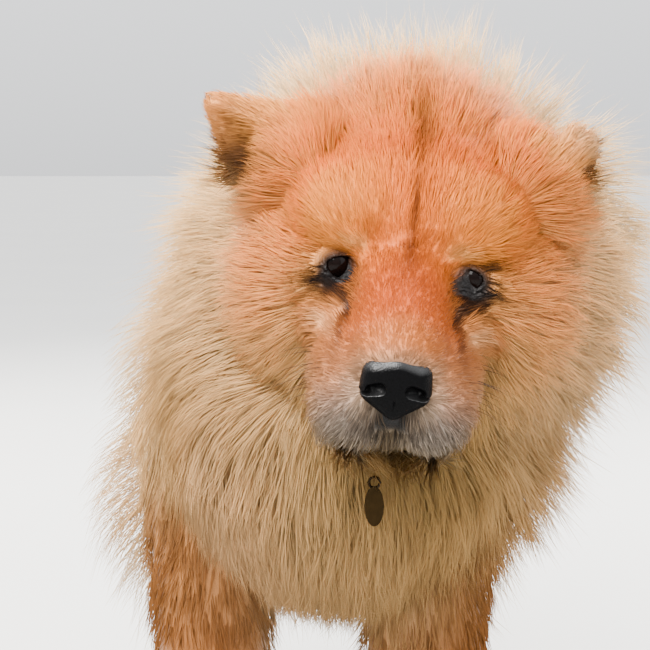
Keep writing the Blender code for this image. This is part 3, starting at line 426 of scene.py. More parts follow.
BODY_PLAN = (
    ((0.060, 0.030, 0.600), 0.060, 86.0, 1.2, 8.5, (0.0, 0.7, 0.50), (1.05, 0.50), "#fcdca4"),
    ((0.060, 0.100, 0.550), 0.060, 80.0, 0.99, 6.5, (0.0, 1.0, -0.20), (0.60, 0.15), "#f8d6a7"),
    ((0.165, 0.030, 0.510), 0.060, 106.0, 1.3, 8.5, (0.70, 0.6, -0.25), (1.15, 0.60), "#fce0b0"),
    ((0.165, 0.010, 0.430), 0.065, 104.0, 1.2, 8.5, (0.60, 0.6, -0.50), (1.15, 0.60), "#dab27a"),
    ((-0.045, 0.030, 0.540), 0.050, 92.0, 1.0, 7.5, (-0.50, 0.7, -0.30), (1.10, 0.55), "#fbdaa0"),
    ((-0.055, 0.020, 0.470), 0.042, 70.0, 1.0, 7.5, (-0.10, 0.5, -0.85), (0.72, 0.16), "#f6cc90"),
    ((-0.075, -0.020, 0.400), 0.045, 50.0, 1.0, 8.0, (0.02, 0.15, -1.0), (0.20, 0.00), "#b28850"),
    # painted shade: the chest hair just beneath the chin, darkened where the head shades it
    ((0.055, -0.115, 0.410), 0.040, 42.0, 1.0, 10.0, (0.0, -0.1, -1.0), (0.58, 0.24), "#94783c"),
    ((0.010, -0.110, 0.370), 0.050, 62.0, 0.99, 7.5, (-0.05, -0.15, -1.0), (0.74, 0.30), "#cfa86e"),
    ((0.080, -0.080, 0.360), 0.050, 66.0, 0.99, 7.5, (0.15, -0.1, -1.0), (0.50, 0.15), "#c59d62"),
    ((-0.060, -0.080, 0.350), 0.045, 52.0, 1.0, 7.5, (0.0, 0.0, -1.0), (0.32, 0.06), "#d0a778"),
    ((0.100, 0.030, 0.585), 0.015, 100.0, 1.0, 6.0, (-0.2, 0.3, 1.0), (1.35, 1.15), "#fbdfb4"),
    ((0.012, 0.040, 0.590), 0.015, 100.0, 1.0, 6.0, (-0.8, 0.3, 0.6), (1.20, 0.90), "#fbdfb4"),
    ((0.016, -0.080, 0.300), 0.045, 62.0, 0.99, 7.5, (0.0, 0.1, -1.0), (0.45, 0.10), "#d1aa73"),
    ((-0.120, 0.060, 0.400), 0.060, 44.0, 1.0, 8.5, (0.0, 0.6, -0.90), (0.22, 0.00), "#efc78c"),
    ((0.136, 0.060, 0.370), 0.060, 88.0, 1.06, 7.5, (0.4, 0.6, -0.75), (1.00, 0.45), "#dcb078"),
    ((-0.120, 0.190, 0.400), 0.070, 66.0, 1.12, 6.0, (0.0, 0.8, -0.60), (0.38, 0.05), "#f8d7aa"),
    ((0.125, 0.190, 0.400), 0.070, 70.0, 1.12, 6.0, (0.1, 0.8, -0.55), (0.45, 0.08), "#f5d3a4"),
    ((0.000, 0.160, 0.500), 0.060, 66.0, 1.12, 6.5, (0.0, 1.0, -0.05), (0.50, 0.10), "#f2ca94"),
    ((0.000, 0.290, 0.490), 0.060, 58.0, 1.12, 7.0, (0.0, 1.0, -0.10), (0.50, 0.10), "#f0c48c"),
    ((0.000, 0.100, 0.260), 0.060, 44.0, 1.12, 7.0, (0.0, 0.7, -0.60), (0.40, 0.12), "#eac490"),
    ((0.000, 0.250, 0.290), 0.060, 40.0, 1.12, 7.0, (0.0, 0.7, -0.60), (0.40, 0.12), "#eeca9a"),
    ((-0.095, -0.030, 0.300), 0.030, 26.0, 0.92, 13.0, (-0.05, 0.1, -1.0), (0.35, 0.08), "#9d6432"),
) + tuple(
    ((side * x, y, z), reach, length, width, crowd, (side * lie[0], lie[1], lie[2]), lifts, colour)
    for side in (-1, 1)
    for (x, y, z), reach, length, width, crowd, lie, lifts, colour in (
        ((0.070, 0.370, 0.470), 0.050, 60.0, 1.12, 7.0, (0.40, 0.7, -0.60), (0.50, 0.12), "#f4d09b"),
        ((0.130, 0.330, 0.370), 0.060, 60.0, 1.0, 8.0, (0.25, 0.5, -0.85), (0.80, 0.40), "#efd0a0"),
        ((0.070, 0.420, 0.360), 0.050, 84.0, 1.19, 6.5, (0.10, 0.5, -1.00), (0.60, 0.20), "#fadbaf"),
        ((0.080, 0.400, 0.270), 0.045, 78.0, 1.19, 7.0, (0.05, 0.4, -1.00), (0.60, 0.25), "#f7d5a3"),
        ((0.120, 0.290, 0.270), 0.045, 78.0, 1.0, 11.0, (0.50, 0.3, -1.00), (1.10, 0.55), "#e8c08a"),
        ((0.110, 0.330, 0.190), 0.040, 72.0, 1.0, 16.0, (0.50, 0.2, -1.00), (1.10, 0.50), "#dcb07a"),
        ((0.090, 0.400, 0.180), 0.030, 46.0, 1.06, 12.0, (0.0, 0.35, -1.00), (0.50, 0.25), "#b99d84"),
        ((0.090, 0.385, 0.100), 0.035, 17.0, 0.99, 24.0, (0.0, 0.1, -1.00), (0.30, 0.12), "#8d5b2e"),
        ((0.088, 0.360, 0.030), 0.030, 12.0, 0.92, 28.0, (0.1, -0.8, -0.60), (0.30, 0.12), "#916235"),
        ((0.092, -0.005, 0.290), 0.040, 28.0, 0.92, 13.0, (0.05, 0.15, -1.00), (0.35, 0.08), "#8e5a2c"),
        ((0.073, -0.020, 0.200), 0.035, 20.0, 0.99, 20.0, (0.0, 0.1, -1.00), (0.32, 0.10), "#875125"),
        ((0.075, 0.036, 0.200), 0.025, 42.0, 1.06, 13.0, (0.0, 0.4, -1.00), (0.50, 0.25), "#9b7142"),
        ((0.073, -0.005, 0.100), 0.035, 16.0, 0.99, 24.0, (0.0, 0.1, -1.00), (0.30, 0.12), "#875326"),
        ((0.073, -0.035, 0.030), 0.030, 12.0, 0.92, 28.0, (0.1, -0.8, -0.60), (0.30, 0.12), "#8d592a"),
    )
)
TAIL_PLAN = tuple(
    ((x, y, z), 0.045, length, 1.10, 8.5, lie, (0.60, 0.28), colour)
    for (x, y, z), length, lie, colour in (
        ((0.000, 0.415, 0.470), 52.0, (0.0, 0.5, 0.8), "#f3ca92"),
        ((0.000, 0.440, 0.520), 70.0, (0.0, 0.3, 1.0), "#f8d6a3"),
        ((-0.006, 0.400, 0.556), 82.0, (-0.1, -0.9, 0.3), "#fcdeb2"),
        ((-0.020, 0.315, 0.550), 82.0, (-0.15, -1.0, -0.05), "#fadaac"),
        ((-0.032, 0.250, 0.534), 78.0, (-0.15, -1.0, -0.25), "#f7d5a3"),
    )
)
EAR_PLAN = (
    ((0.000, 0.010, 0.000), 0.018, 13.0, 0.8, 26, (0.5, 0.5, 0.8), (0.38, 0.16), "#f59a48"),
    ((0.000, 0.012, 0.030), 0.018, 8.0, 0.7, 32, (0.3, 0.3, 1), (0.28, 0.10), "#ee9446"),
    ((0.000, 0.003, 0.050), 0.012, 5.0, 0.7, 36, (0, -0.1, 1), (0.30, 0.10), "#ee9a50"),
    # painted shade: dark brown hair in the hollow of the ear's cup and along its lower outer edge
    ((0.003, -0.008, 0.000), 0.013, 12.0, 0.8, 26, (1, -0.5, 0.1), (0.40, 0.20), "#29170e"),
    ((0.002, -0.006, 0.024), 0.010, 8.0, 0.8, 26, (0.6, -0.5, 0.6), (0.40, 0.20), "#351d12"),
    ((0.024, -0.004, -0.006), 0.010, 12.0, 0.8, 30, (0.9, -0.3, -0.3), (0.45, 0.25), "#4d2e1a"),
    ((-0.024, -0.006, 0.012), 0.009, 9.0, 0.8, 30, (-0.1, -0.2, 1), (0.40, 0.20), "#e8893c"),
    ((0.020, -0.004, 0.024), 0.007, 7.0, 0.8, 30, (0.2, -0.2, 1), (0.40, 0.20), "#c67a3e"),
)


def plan_rows():
    """All places of the plan as arrays in the dog's own frame."""
    rows = []
    for (x, y, z), *rest in HEAD_PLAN:
        for side in ((-1, 1) if x else (1,)):
            rows.append((HEAD @ Vector((x * side, y, z)), HEAD.to_3x3(), side, *rest))
    for side, sign in SIDES.items():
        place = HEAD @ ear_frame(side)[0]
        for (x, y, z), *rest in EAR_PLAN:
            rows.append((place @ Vector((x * sign, y, z)), place.to_3x3(), sign, *rest))
    for at, *rest in BODY_PLAN + TAIL_PLAN:
        rows.append((Vector(at) + SHIFT, Matrix.Identity(3), 1, *rest))
    table = {key: [] for key in ("at", "reach", "length", "width", "crowd", "lie", "lift", "colour")}
    for at, turn, side, reach, length, width, crowd, lie, lifts, colour in rows:
        table["at"].append(at)
        table["reach"].append(reach)
        table["length"].append(length / 1000)
        table["width"].append(width / 1000)
        table["crowd"].append(crowd * 1e4)
        table["lie"].append((turn @ Vector((lie[0] * side, lie[1], lie[2]))).normalized())
        table["lift"].append(lifts)
        table["colour"].append(rgb(colour))
    return {key: np.array(value, dtype=float) for key, value in table.items()}


PLAN = plan_rows()


def planned(points):
    """The plan's values at each of many points, blended between its places."""
    out = {key: [] for key in PLAN if key not in ("at", "reach")}
    for block in np.array_split(points, max(1, len(points) // 20000)):
        gap = ((block[:, None, :] - PLAN["at"][None]) ** 2).sum(2) / PLAN["reach"] ** 2
        weight = np.exp(-gap * 0.8) + 1e-7 / (gap + 1.0) ** 2
        weight /= weight.sum(1, keepdims=True)
        for key in out:
            out[key].append(weight @ PLAN[key])
    values = {key: np.concatenate(value) for key, value in out.items()}
    values["lie"] /= np.linalg.norm(values["lie"], axis=1, keepdims=True) + 1e-9
    return values


def to_head(points):
    """Points as seen from the point between the eyes."""
    matrix = np.array(HEAD.inverted())
    return points @ matrix[:3, :3].T + matrix[:3, 3]


def to_half_head(points):
    """Points as seen from between the eyes, with the dog's right half laid over its left."""
    local = to_head(points)
    local[:, 0] = np.abs(local[:, 0])
    return local


def near(local, at, size, edge=1.0):
    """How strongly a mark at one place of the head shows at each point, from 0 to 1."""
    gap = (local - np.array(at)) / np.array(size)
    return np.exp(-((gap ** 2).sum(1) ** edge))


FACE_MARKS_AND_PAINTED_SHADE = (
    # place, half size, edge, strength, colour, on both sides
    ((0.0388, 0.0020, -0.0027), (0.0140, 0.060, 0.0150), 4.0, 1.00, "#0a0707", True),
    ((0.0300, 0.0000, 0.0160), (0.0080, 0.060, 0.0050), 1.5, 0.45, "#f6b868", True),
    ((0.0300, -0.0020, -0.0150), (0.0036, 0.060, 0.0070), 2.0, 1.00, "#120a08", True),
    ((0.0325, -0.0120, -0.0250), (0.0032, 0.060, 0.0070), 2.0, 0.92, "#2a140b", True),
    ((0.0345, -0.0150, -0.0335), (0.0030, 0.060, 0.0060), 1.5, 0.75, "#44200f", True),
    ((0.0425, -0.0050, -0.0245), (0.0070, 0.060, 0.0052), 1.5, 0.60, "#f0b078", True),
    # painted shade: dark brown down the furrow of the forehead and in the stop between the eyes, where the
    # crease is shaded
    ((0.0018, 0.0100, 0.0360), (0.0024, 0.060, 0.0200), 1.0, 0.85, "#4c200c", False),
    ((0.0020, 0.0200, 0.0700), (0.0060, 0.080, 0.0120), 1.0, 0.70, "#6a3213", False),
    ((0.0016, 0.0050, 0.0120), (0.0070, 0.040, 0.0110), 1.0, 0.80, "#58240c", False),
    ((0.0, -0.0790, -0.0410), (0.0250, 0.030, 0.0212), 3.0, 0.50, "#dcbc98", False),
    ((0.0, -0.0790, -0.0395), (0.0195, 0.030, 0.0180), 4.0, 1.00, "#0a0808", False),
    ((0.0, -0.0700, -0.0575), (0.0036, 0.040, 0.0085), 2.0, 1.00, "#0e0b0a", False),
    ((0.0070, -0.0750, -0.0590), (0.0150, 0.060, 0.0110), 1.5, 0.65, "#2c2826", True),
    ((0.0, -0.0750, -0.0630), (0.0115, 0.060, 0.0085), 3.0, 1.00, "#060505", False),
    # painted shade in the hollow of the cup of the dog's right ear
    ((-0.0980, 0.0500, 0.0480), (0.0175, 0.030, 0.0125), 2.0, 0.88, "#341c10", False),
    ((0.1000, 0.0500, 0.0860), (0.0200, 0.060, 0.0200), 2.0, 0.50, "#fcc890", False),
    # painted shade in the hollow of the cup of the dog's left ear
    ((0.1010, 0.0500, 0.0585), (0.0085, 0.030, 0.0075), 2.0, 0.88, "#341c10", False),
)


def marked_and_painted_shade(points, colour):
    """Adds the face's marks to the planned colour: eye rims, tear lines and lips, with painted shade
    down the furrow and in the cups of the ears.
    """
    whole, half = to_head(points), to_half_head(points)
    for at, size, edge, strength, code, both in FACE_MARKS_AND_PAINTED_SHADE:
        amount = near(half if both else whole, at, size, edge)[:, None] * strength
        colour = colour * (1 - amount) + np.array(rgb(code)) * amount
    return colour


def positions(mesh):
    flat = np.empty(len(mesh.vertices) * 3)
    mesh.vertices.foreach_get("co", flat)
    return flat.reshape(-1, 3)


def paint(mesh, name, colour):
    """Stores a colour for each vertex under a name that the materials read."""
    layer = mesh.color_attributes.new(name, "FLOAT_COLOR", "POINT")
    layer.data.foreach_set("color", np.column_stack([colour, np.ones(len(colour))]).ravel())


skin_points = positions(skin.data)
# the stored colour holds the coat's own colours together with the painted shade in the furrow, the ear cups
# and under the jaw
paint(skin.data, "Markings", marked_and_painted_shade(skin_points, planned(skin_points)["colour"]))


def add(tree, kind, links=None, **settings):
    """Adds a node to a tree, with its settings and with its inputs linked or given a value."""
    node = tree.nodes.new(kind)
    for key, value in settings.items():
        setattr(node, key, value)
    for socket, source in (links or {}).items():
        if isinstance(source, bpy.types.NodeSocket):
            tree.links.new(source, node.inputs[socket])
        else:
            node.inputs[socket].default_value = source
    return node


def noise(tree, place, scale, detail=2.0):
    """Cloudy grain between 0 and 1, with its scale in swells to the metre."""
    grain = add(tree, "ShaderNodeTexNoise", {"Vector": place, "Scale": scale, "Detail": detail})
    return grain.outputs["Fac"]


def ranged(tree, value, low, high, start=0.0, end=1.0):
    """A value that runs from low to high while what drives it runs from start to end."""
    return add(tree, "ShaderNodeMapRange", {
        "Value": value, "From Min": start, "From Max": end, "To Min": low, "To Max": high}).outputs[0]


def worked(tree, operation, *values):
    """One step of arithmetic on values or sockets."""
    return add(tree, "ShaderNodeMath", dict(enumerate(values)), operation=operation).outputs[0]


def between(tree, share, first, second):
    """A colour that goes from one hex colour to another."""
    ends = {0: share, 6: (*rgb(first), 1), 7: (*rgb(second), 1)}
    return add(tree, "ShaderNodeMix", ends, data_type="RGBA").outputs[2]


def new_material(name):
    """An empty material, its tree, and the places on the object that its grain is laid out on."""
    material = bpy.data.materials.new(name)
    material.use_nodes = True
    tree = material.node_tree
    tree.nodes.clear()
    return material, tree, add(tree, "ShaderNodeTexCoord").outputs["Object"]


def surfaced(tree, **sockets):
    """Ends a material in one surface, with its sockets named as in the shader."""
    named = {key.replace("_", " "): value for key, value in sockets.items()}
    surface = add(tree, "ShaderNodeBsdfPrincipled", named)
    add(tree, "ShaderNodeOutputMaterial", {"Surface": surface.outputs[0]})


FOLD_SPACING = 0.0030


def skin_material():
    """Hide under a nap of very short hair: pores and fine hairs a millimetre apart, and soft folds
    that ring each eye."""
    material, tree, place = new_material("hide under short hair")
    marks = add(tree, "ShaderNodeAttribute", attribute_name="Markings")
    nap = noise(tree, place, 1000.0, 3.0)
    patch = noise(tree, place, 130.0, 3.0)
    depth = worked(tree, "MULTIPLY", ranged(tree, nap, 0.55, 1.0), ranged(tree, patch, 0.85, 1.1))
    colour = add(tree, "ShaderNodeVectorMath", {0: marks.outputs["Color"], "Scale": depth}, operation="SCALE")
    bump = add(tree, "ShaderNodeBump", {"Height": nap, "Strength": 0.5, "Distance": 0.0008})
    for sign in SIDES.values():
        middle = HEAD @ Vector((EYE_AT.x * sign, EYE_AT.y - EYE_RADIUS, EYE_AT.z + 0.002))
        gap = add(tree, "ShaderNodeVectorMath", {0: place, 1: middle}, operation="DISTANCE").outputs["Value"]
        bent = worked(tree, "MULTIPLY_ADD", patch, 0.011, gap)
        ridge = worked(tree, "SINE", worked(tree, "MULTIPLY", bent, math.tau / FOLD_SPACING))
        height = worked(tree, "MULTIPLY", ridge, ranged(tree, gap, 0.0, 1.0, 0.020, 0.011))
        bump = add(tree, "ShaderNodeBump", {
            "Height": height, "Strength": 0.45, "Distance": 0.0006, "Normal": bump.outputs[0]})
    surfaced(tree, Base_Color=colour.outputs[0], Roughness=0.50, Specular_IOR_Level=0.16,
             Normal=bump.outputs[0])
    return material


skin.data.materials.clear()
skin.data.materials.append(skin_material())
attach(skin, "root")
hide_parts("head", "neck", "torso", "tail", "foreleg_left", "foreleg_right",
            "hind_leg_left", "hind_leg_right", "ear_left", "ear_right")


# Coat. The rough double coat: some ninety-six thousand thin tapered tufts of hair, each rooted in
# the hide and bent along the way the coat lies, short and close on the face and feet, long on ruff,
# breeches and tail. Tufts lean towards guide tufts, which makes the loose locks of a combed coat.

SEGMENTS = 3
TUFTS_TO_A_GUIDE = 14
OUTLINE_SLACK = 0.002
OUTLINE_GIVE = 0.016
FLOOR_GAP = 0.0012
EYE_FRONT = EYE_AT - Vector((0.0005, 0.0120, 0.0))
BARE_EDGE = 0.37
BARE_SPOTS = (
    # place and half size of what no hair covers: open eye, nose leather, mouth, the groove above it
    (EYE_FRONT + Vector((-0.0040, 0, 0.0)), (0.0112, 0.030, 0.0086)),
    (NOSE_AT, (0.0180, 0.022, 0.0165)),
    ((0.0, -0.080, -0.0640), (0.0100, 0.030, 0.0050)),
    ((0.0, -0.080, -0.0590), (0.0042, 0.030, 0.0120)),
)

hide_normals = np.empty(len(skin_points) * 3)
skin.data.vertices.foreach_get("normal", hide_normals)
hide_normals = hide_normals.reshape(-1, 3)
skin.data.calc_loop_triangles()
hide_corners = np.empty(len(skin.data.loop_triangles) * 3, dtype=np.int32)
skin.data.loop_triangles.foreach_get("vertices", hide_corners)
hide_corners = hide_corners.reshape(-1, 3)
hide_middles = skin_points[hide_corners].mean(axis=1)
hide_edges = skin_points[hide_corners[:, 1:]] - skin_points[hide_corners[:, :1]]
hide_areas = np.linalg.norm(np.cross(hide_edges[:, 0], hide_edges[:, 1]), axis=1) / 2
hide_plan = planned(hide_middles)
hide_tree = BVHTree.FromPolygons(skin_points.tolist(), hide_corners.tolist())


def scattered(rng, mask, count):
    """Random roots on the picked part of the hide, crowded as the plan says, with the hide's normals."""
    weight = hide_areas * hide_plan["crowd"] * mask
    chosen = rng.choice(len(weight), count, p=weight / weight.sum())
    share = rng.random((count, 2))
    over = share.sum(1) > 1
    share[over] = 1 - share[over]
    share = np.column_stack([1 - share.sum(1), share])[:, :, None]
    corners = hide_corners[chosen]
    normals = (hide_normals[corners] * share).sum(1)
    return (skin_points[corners] * share).sum(1), normals / np.linalg.norm(normals, axis=1, keepdims=True)


def guide_lines(rng, roots, plan):
    """Guide tufts: each leaves the hide at its first lift and bends over along the lie to its last."""
    lines = np.empty((len(roots), SEGMENTS + 1, 3))
    for index, root in enumerate(roots):
        place = Vector(root)
        out = hide_tree.find_nearest(place)[1]
        lie = Vector(plan["lie"][index]) + Vector(rng.normal(0, 0.10, 3))
        flat = (lie - out * lie.dot(out)).normalized()
        step = plan["length"][index] * rng.uniform(0.85, 1.15) / SEGMENTS
        lift_root, lift_tip = plan["lift"][index] * rng.uniform(0.8, 1.2)
        sway = rng.normal(0, 0.30)
        lines[index, 0] = place
        for turn in range(SEGMENTS):
            share = (turn + 0.5) / SEGMENTS
            out = out.lerp(hide_tree.find_nearest(place)[1], 0.4).normalized()
            flat = flat + lie
            flat = (flat - out * flat.dot(out)).normalized()
            way = (flat + out.cross(flat) * sway * share).normalized()
            lift = lift_root + (lift_tip - lift_root) * share
            place = place + (way * math.cos(lift) + out * math.sin(lift)) * step
            lines[index, turn + 1] = place
    return lines


def held_in(tufts):
    """Bends the longest tips back where they would leave the dog's own outline, and off the floor."""
    for corner, way in zip(cad_box, (-1.0, 1.0)):
        over = np.maximum((tufts - (np.array(corner) + way * OUTLINE_SLACK)) * way, 0.0)
        tufts = tufts - way * over + way * OUTLINE_GIVE * (1 - np.exp(-over / OUTLINE_GIVE))
    tufts[:, :, 2] = np.maximum(tufts[:, :, 2], FLOOR_GAP)
    return tufts


def follow(rng, roots, normals, guides, lines, gather, stray):
    """Tufts shaped like the guides about them and drawn to the nearest one, with a few strays."""
    tree = KDTree(len(guides))
    for index, root in enumerate(guides):
        tree.insert(root, index)
    tree.balance()
    found = [tree.find_n(root, 3) for root in roots]
    picks = np.array([[hit[1] for hit in hits] for hits in found])
    gaps = np.array([[hit[2] for hit in hits] for hits in found])
    weight = 1 / (gaps + 1e-4) ** 1.5
    weight /= weight.sum(1, keepdims=True)
    shape = ((lines[picks] - lines[picks][:, :, :1]) * weight[:, :, None, None]).sum(1)
    length = np.linalg.norm(shape[:, -1], axis=1)[:, None, None]
    share = np.linspace(0, 1, lines.shape[1])[None, :, None]
    spread = rng.normal(0, 1, (len(roots), 1, 3)) * length
    tufts = roots[:, None, :] + shape * rng.uniform(0.72, 1.12, (len(roots), 1, 1))
    loose = (rng.random(len(roots)) < stray)[:, None, None]
    pull = np.where(loose, 0.0, gather) * share ** 1.4 * rng.uniform(0.5, 1.0, (len(roots), 1, 1))
    target = lines[picks[:, 0]] + spread * 0.045
    tufts = tufts * (1 - pull) + target * pull + spread * 0.065 * share ** 1.5
    rise = np.where(loose, 0.28, 0.0) * length * share ** 1.3
    tufts += rise * normals[:, None, :] * rng.random((len(roots), 1, 1))
    return held_in(tufts), loose[:, 0, 0]


def tuft_tree():
    """A node tree that turns strands into closed tapered tufts, each with its own patch of OFBake."""
    tree = bpy.data.node_groups.new("solid tufts on strands", "GeometryNodeTree")
    inputs = {}
    for name, kind, value in (
            ("Strands", "Geometry", None), ("Sides", "Int", 3), ("Root width", "Float", 0.60),
            ("Fullest at", "Float", 0.25), ("Point", "Float", 1.5), ("Hair", "Material", None)):
        socket = tree.interface.new_socket(name, in_out="INPUT", socket_type="NodeSocket" + kind)
        if value is not None:
            socket.default_value = value
        inputs[name] = socket.identifier
    tree.interface.new_socket("Tufts", in_out="OUTPUT", socket_type="NodeSocketGeometry")
    given = add(tree, "NodeGroupInput").outputs
    strand = add(tree, "GeometryNodeMeshToCurve", {"Mesh": given["Strands"]})
    factor = add(tree, "GeometryNodeSplineParameter").outputs["Factor"]
    hide = add(tree, "GeometryNodeInputNamedAttribute", {"Name": "Hide"}, data_type="FLOAT_VECTOR")
    width = add(tree, "GeometryNodeInputNamedAttribute", {"Name": "Width"}, data_type="FLOAT")
    spot = add(tree, "GeometryNodeInputNamedAttribute", {"Name": "Spot"}, data_type="FLOAT_VECTOR")
    turned = add(tree, "GeometryNodeSetCurveNormal",
                 {"Curve": strand.outputs[0], "Normal": hide.outputs[0]}, mode="FREE")
    known = add(tree, "GeometryNodeStoreNamedAttribute",
                {"Geometry": turned.outputs[0], "Name": "Along", "Value": factor}, data_type="FLOAT")
    swell = ranged(tree, factor, given["Root width"], 1.0, 0.0, given["Fullest at"])
    taper = worked(tree, "SUBTRACT", 1.0, worked(tree, "POWER", factor, given["Point"]))
    thick = worked(tree, "MULTIPLY", worked(tree, "MULTIPLY", swell, taper), width.outputs[0])
    ring = add(tree, "GeometryNodeCurvePrimitiveCircle", {"Resolution": given["Sides"], "Radius": 0.5})
    solid = add(tree, "GeometryNodeCurveToMesh", {
        "Curve": known.outputs[0], "Profile Curve": ring.outputs[0], "Scale": thick,
        "Fill Caps": True})
    count = add(tree, "GeometryNodeInputIndex")
    about = worked(tree, "MODULO", count.outputs[0], given["Sides"])
    along = add(tree, "GeometryNodeInputNamedAttribute", {"Name": "Along"}, data_type="FLOAT")
    offset = add(tree, "ShaderNodeCombineXYZ", {"X": about, "Y": along.outputs[0]})
    patch = add(tree, "ShaderNodeVectorMath",
                {0: offset.outputs[0], 1: (0.001, 0.003, 0.0), 2: spot.outputs[0]}, operation="MULTIPLY_ADD")
    held = add(tree, "GeometryNodeFieldOnDomain", {0: patch.outputs[0]},
               data_type="FLOAT_VECTOR", domain="POINT")
    mapped = add(tree, "GeometryNodeStoreNamedAttribute",
                 {"Geometry": solid.outputs[0], "Name": "OFBake", "Value": held.outputs[0]},
                 data_type="FLOAT2", domain="CORNER")
    pointed = add(tree, "GeometryNodeMergeByDistance", {"Geometry": mapped.outputs[0], "Distance": 1e-7})
    smooth = add(tree, "GeometryNodeSetShadeSmooth", {"Geometry": pointed.outputs[0]})
    real = add(tree, "GeometryNodeRealizeInstances", {"Geometry": smooth.outputs[0]})
    haired = add(tree, "GeometryNodeSetMaterial", {"Geometry": real.outputs[0], "Material": given["Hair"]})
    add(tree, "NodeGroupOutput", {"Tufts": haired.outputs[0]})
    return tree, inputs


TUFTS, TUFT_INPUTS = tuft_tree()


def grown(name, strands, values, material, **sizes):
    """Turns strands, one row of points for each hair, into one plain mesh of solid tufts."""
    count, points = strands.shape[:2]
    index = np.arange(count * points).reshape(count, points)
    mesh = bpy.data.meshes.new(name)
    mesh.vertices.add(count * points)
    mesh.vertices.foreach_set("co", strands.astype(np.float32).ravel())
    mesh.edges.add(count * (points - 1))
    links = np.stack([index[:, :-1], index[:, 1:]], axis=2)
    mesh.edges.foreach_set("vertices", links.astype(np.int32).ravel())
    for key, value in values.items():
        value = np.repeat(value, points, axis=0).astype(np.float32)
        kind = "FLOAT_VECTOR" if value.ndim == 2 else "FLOAT"
        layer = mesh.attributes.new(key, kind, "POINT")
        layer.data.foreach_set("vector" if value.ndim == 2 else "value", value.ravel())
    obj = bpy.data.objects.new(name, mesh)
    bpy.context.scene.collection.objects.link(obj)
    modifier = obj.modifiers.new("tufts", "NODES")
    modifier.node_group = TUFTS
    modifier[TUFT_INPUTS["Hair"]] = material
    for key, value in sizes.items():
        modifier[TUFT_INPUTS[key.replace("_", " ").capitalize()]] = value
    apply_modifiers(obj)
    for key in ("Width", "Spot"):
        obj.data.attributes.remove(obj.data.attributes[key])
    obj.name = obj.data.name = name
    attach(obj, "root")
    return obj


def wound(start, end):
    """An unwrap of the hide's own shape, wound about the line through one part of the body."""
    start, end = np.array(start), np.array(end)
    length = np.linalg.norm(end - start)
    axis = (end - start) / length
    side = np.cross(axis, (0.13, 0.21, 0.97))
    side /= np.linalg.norm(side)
    up = np.cross(side, axis)

    def unwrap(roots):
        away = roots - start
        turn = np.arctan2(away @ side, away @ up) / math.tau + 0.5
        height = np.clip(away @ axis / length, 0, 1)
        return np.column_stack([0.02 + 0.95 * turn, 0.02 + 0.95 * height, np.zeros(len(roots))])

    return unwrap


def hair_material(name, roughness, root_shade, evenness, thinness):
    """Hair, darker at the root with painted shade where the tufts crowd over the hide and a little lighter
    at the tip with painted back light, each tuft a little different, with the soft shade of the hide
    beneath it and some light let through, as thin hair does."""
    material, tree, place = new_material(name)
    marks, along, own, hide = (
        add(tree, "ShaderNodeAttribute", attribute_name=layer).outputs
        for layer in ("Markings", "Along", "Own", "Hide"))
    # painted shade and light: the colour darkens towards the root, where the tufts shade one another, and
    # lightens a little at the tip as painted back light
    rise = ranged(tree, along["Fac"], root_shade, 1.06)
    differ = ranged(tree, own["Fac"], 0.90, 1.08)
    wave = ranged(tree, noise(tree, place, 36.0, 3.0), 0.88, 1.08, 0.3, 0.7)
    whole = worked(tree, "MULTIPLY", worked(tree, "MULTIPLY", rise, differ), wave)
    colour = add(tree, "ShaderNodeVectorMath", {0: marks["Vector"], "Scale": whole}, operation="SCALE")
    shape = add(tree, "ShaderNodeNewGeometry")
    blend = add(tree, "ShaderNodeMix", {0: evenness, 4: shape.outputs["Normal"], 5: hide["Vector"]},
                data_type="VECTOR")
    normal = add(tree, "ShaderNodeVectorMath", {0: blend.outputs[1]}, operation="NORMALIZE")
    surface = add(tree, "ShaderNodeBsdfPrincipled", {
        "Base Color": colour.outputs[0], "Roughness": roughness, "Specular IOR Level": 0.08,
        "Normal": normal.outputs[0]})
    through = add(tree, "ShaderNodeBsdfTranslucent", {"Color": colour.outputs[0]})
    mixed = add(tree, "ShaderNodeMixShader", {0: thinness, 1: surface.outputs[0], 2: through.outputs[0]})
    add(tree, "ShaderNodeOutputMaterial", {"Surface": mixed.outputs[0]})
    return material


long_hair = hair_material("long guard hair", roughness=0.60, root_shade=0.92, evenness=0.80, thinness=0.50)
short_hair = hair_material("short plush hair", roughness=0.70, root_shade=0.90, evenness=0.92, thinness=0.22)


def speckled(rng, roots, colour):
    """Sets white hairs among charcoal ones on the front of the muzzle, as on an older dog."""
    amount = near(to_half_head(roots), (0.018, -0.070, -0.064), (0.030, 0.030, 0.018), 1.5) * 0.42
    return colour * np.exp(rng.normal(0, 1, len(roots)) * amount)[:, None]


def coat(name, seed, mask, tufts, gather, stray, unwrap, material, slot):
    """One piece of the coat over the part of the hide that its mask picks."""
    rng = np.random.default_rng(seed)
    guides, _ = scattered(rng, mask, tufts // TUFTS_TO_A_GUIDE)
    lines = guide_lines(rng, guides, planned(guides))
    roots, normals = scattered(rng, mask, int(tufts * 1.03))
    half = to_half_head(roots)
    haired = np.all([near(half, at, size) < BARE_EDGE for at, size in BARE_SPOTS], axis=0)
    roots, normals = roots[haired][:tufts], normals[haired][:tufts]
    plan = planned(roots)
    strands, loose = follow(rng, roots, normals, guides, lines, gather, stray)
    width = plan["width"] * rng.uniform(0.7, 1.25, len(roots)) * np.where(loose, 0.55, 1.0)
    obj = grown(name, strands, {
        "Markings": marked_and_painted_shade(roots, speckled(rng, roots, plan["colour"])), "Hide": normals, "Width": width,
        "Own": rng.random(len(roots)), "Spot": unwrap(roots)}, material)


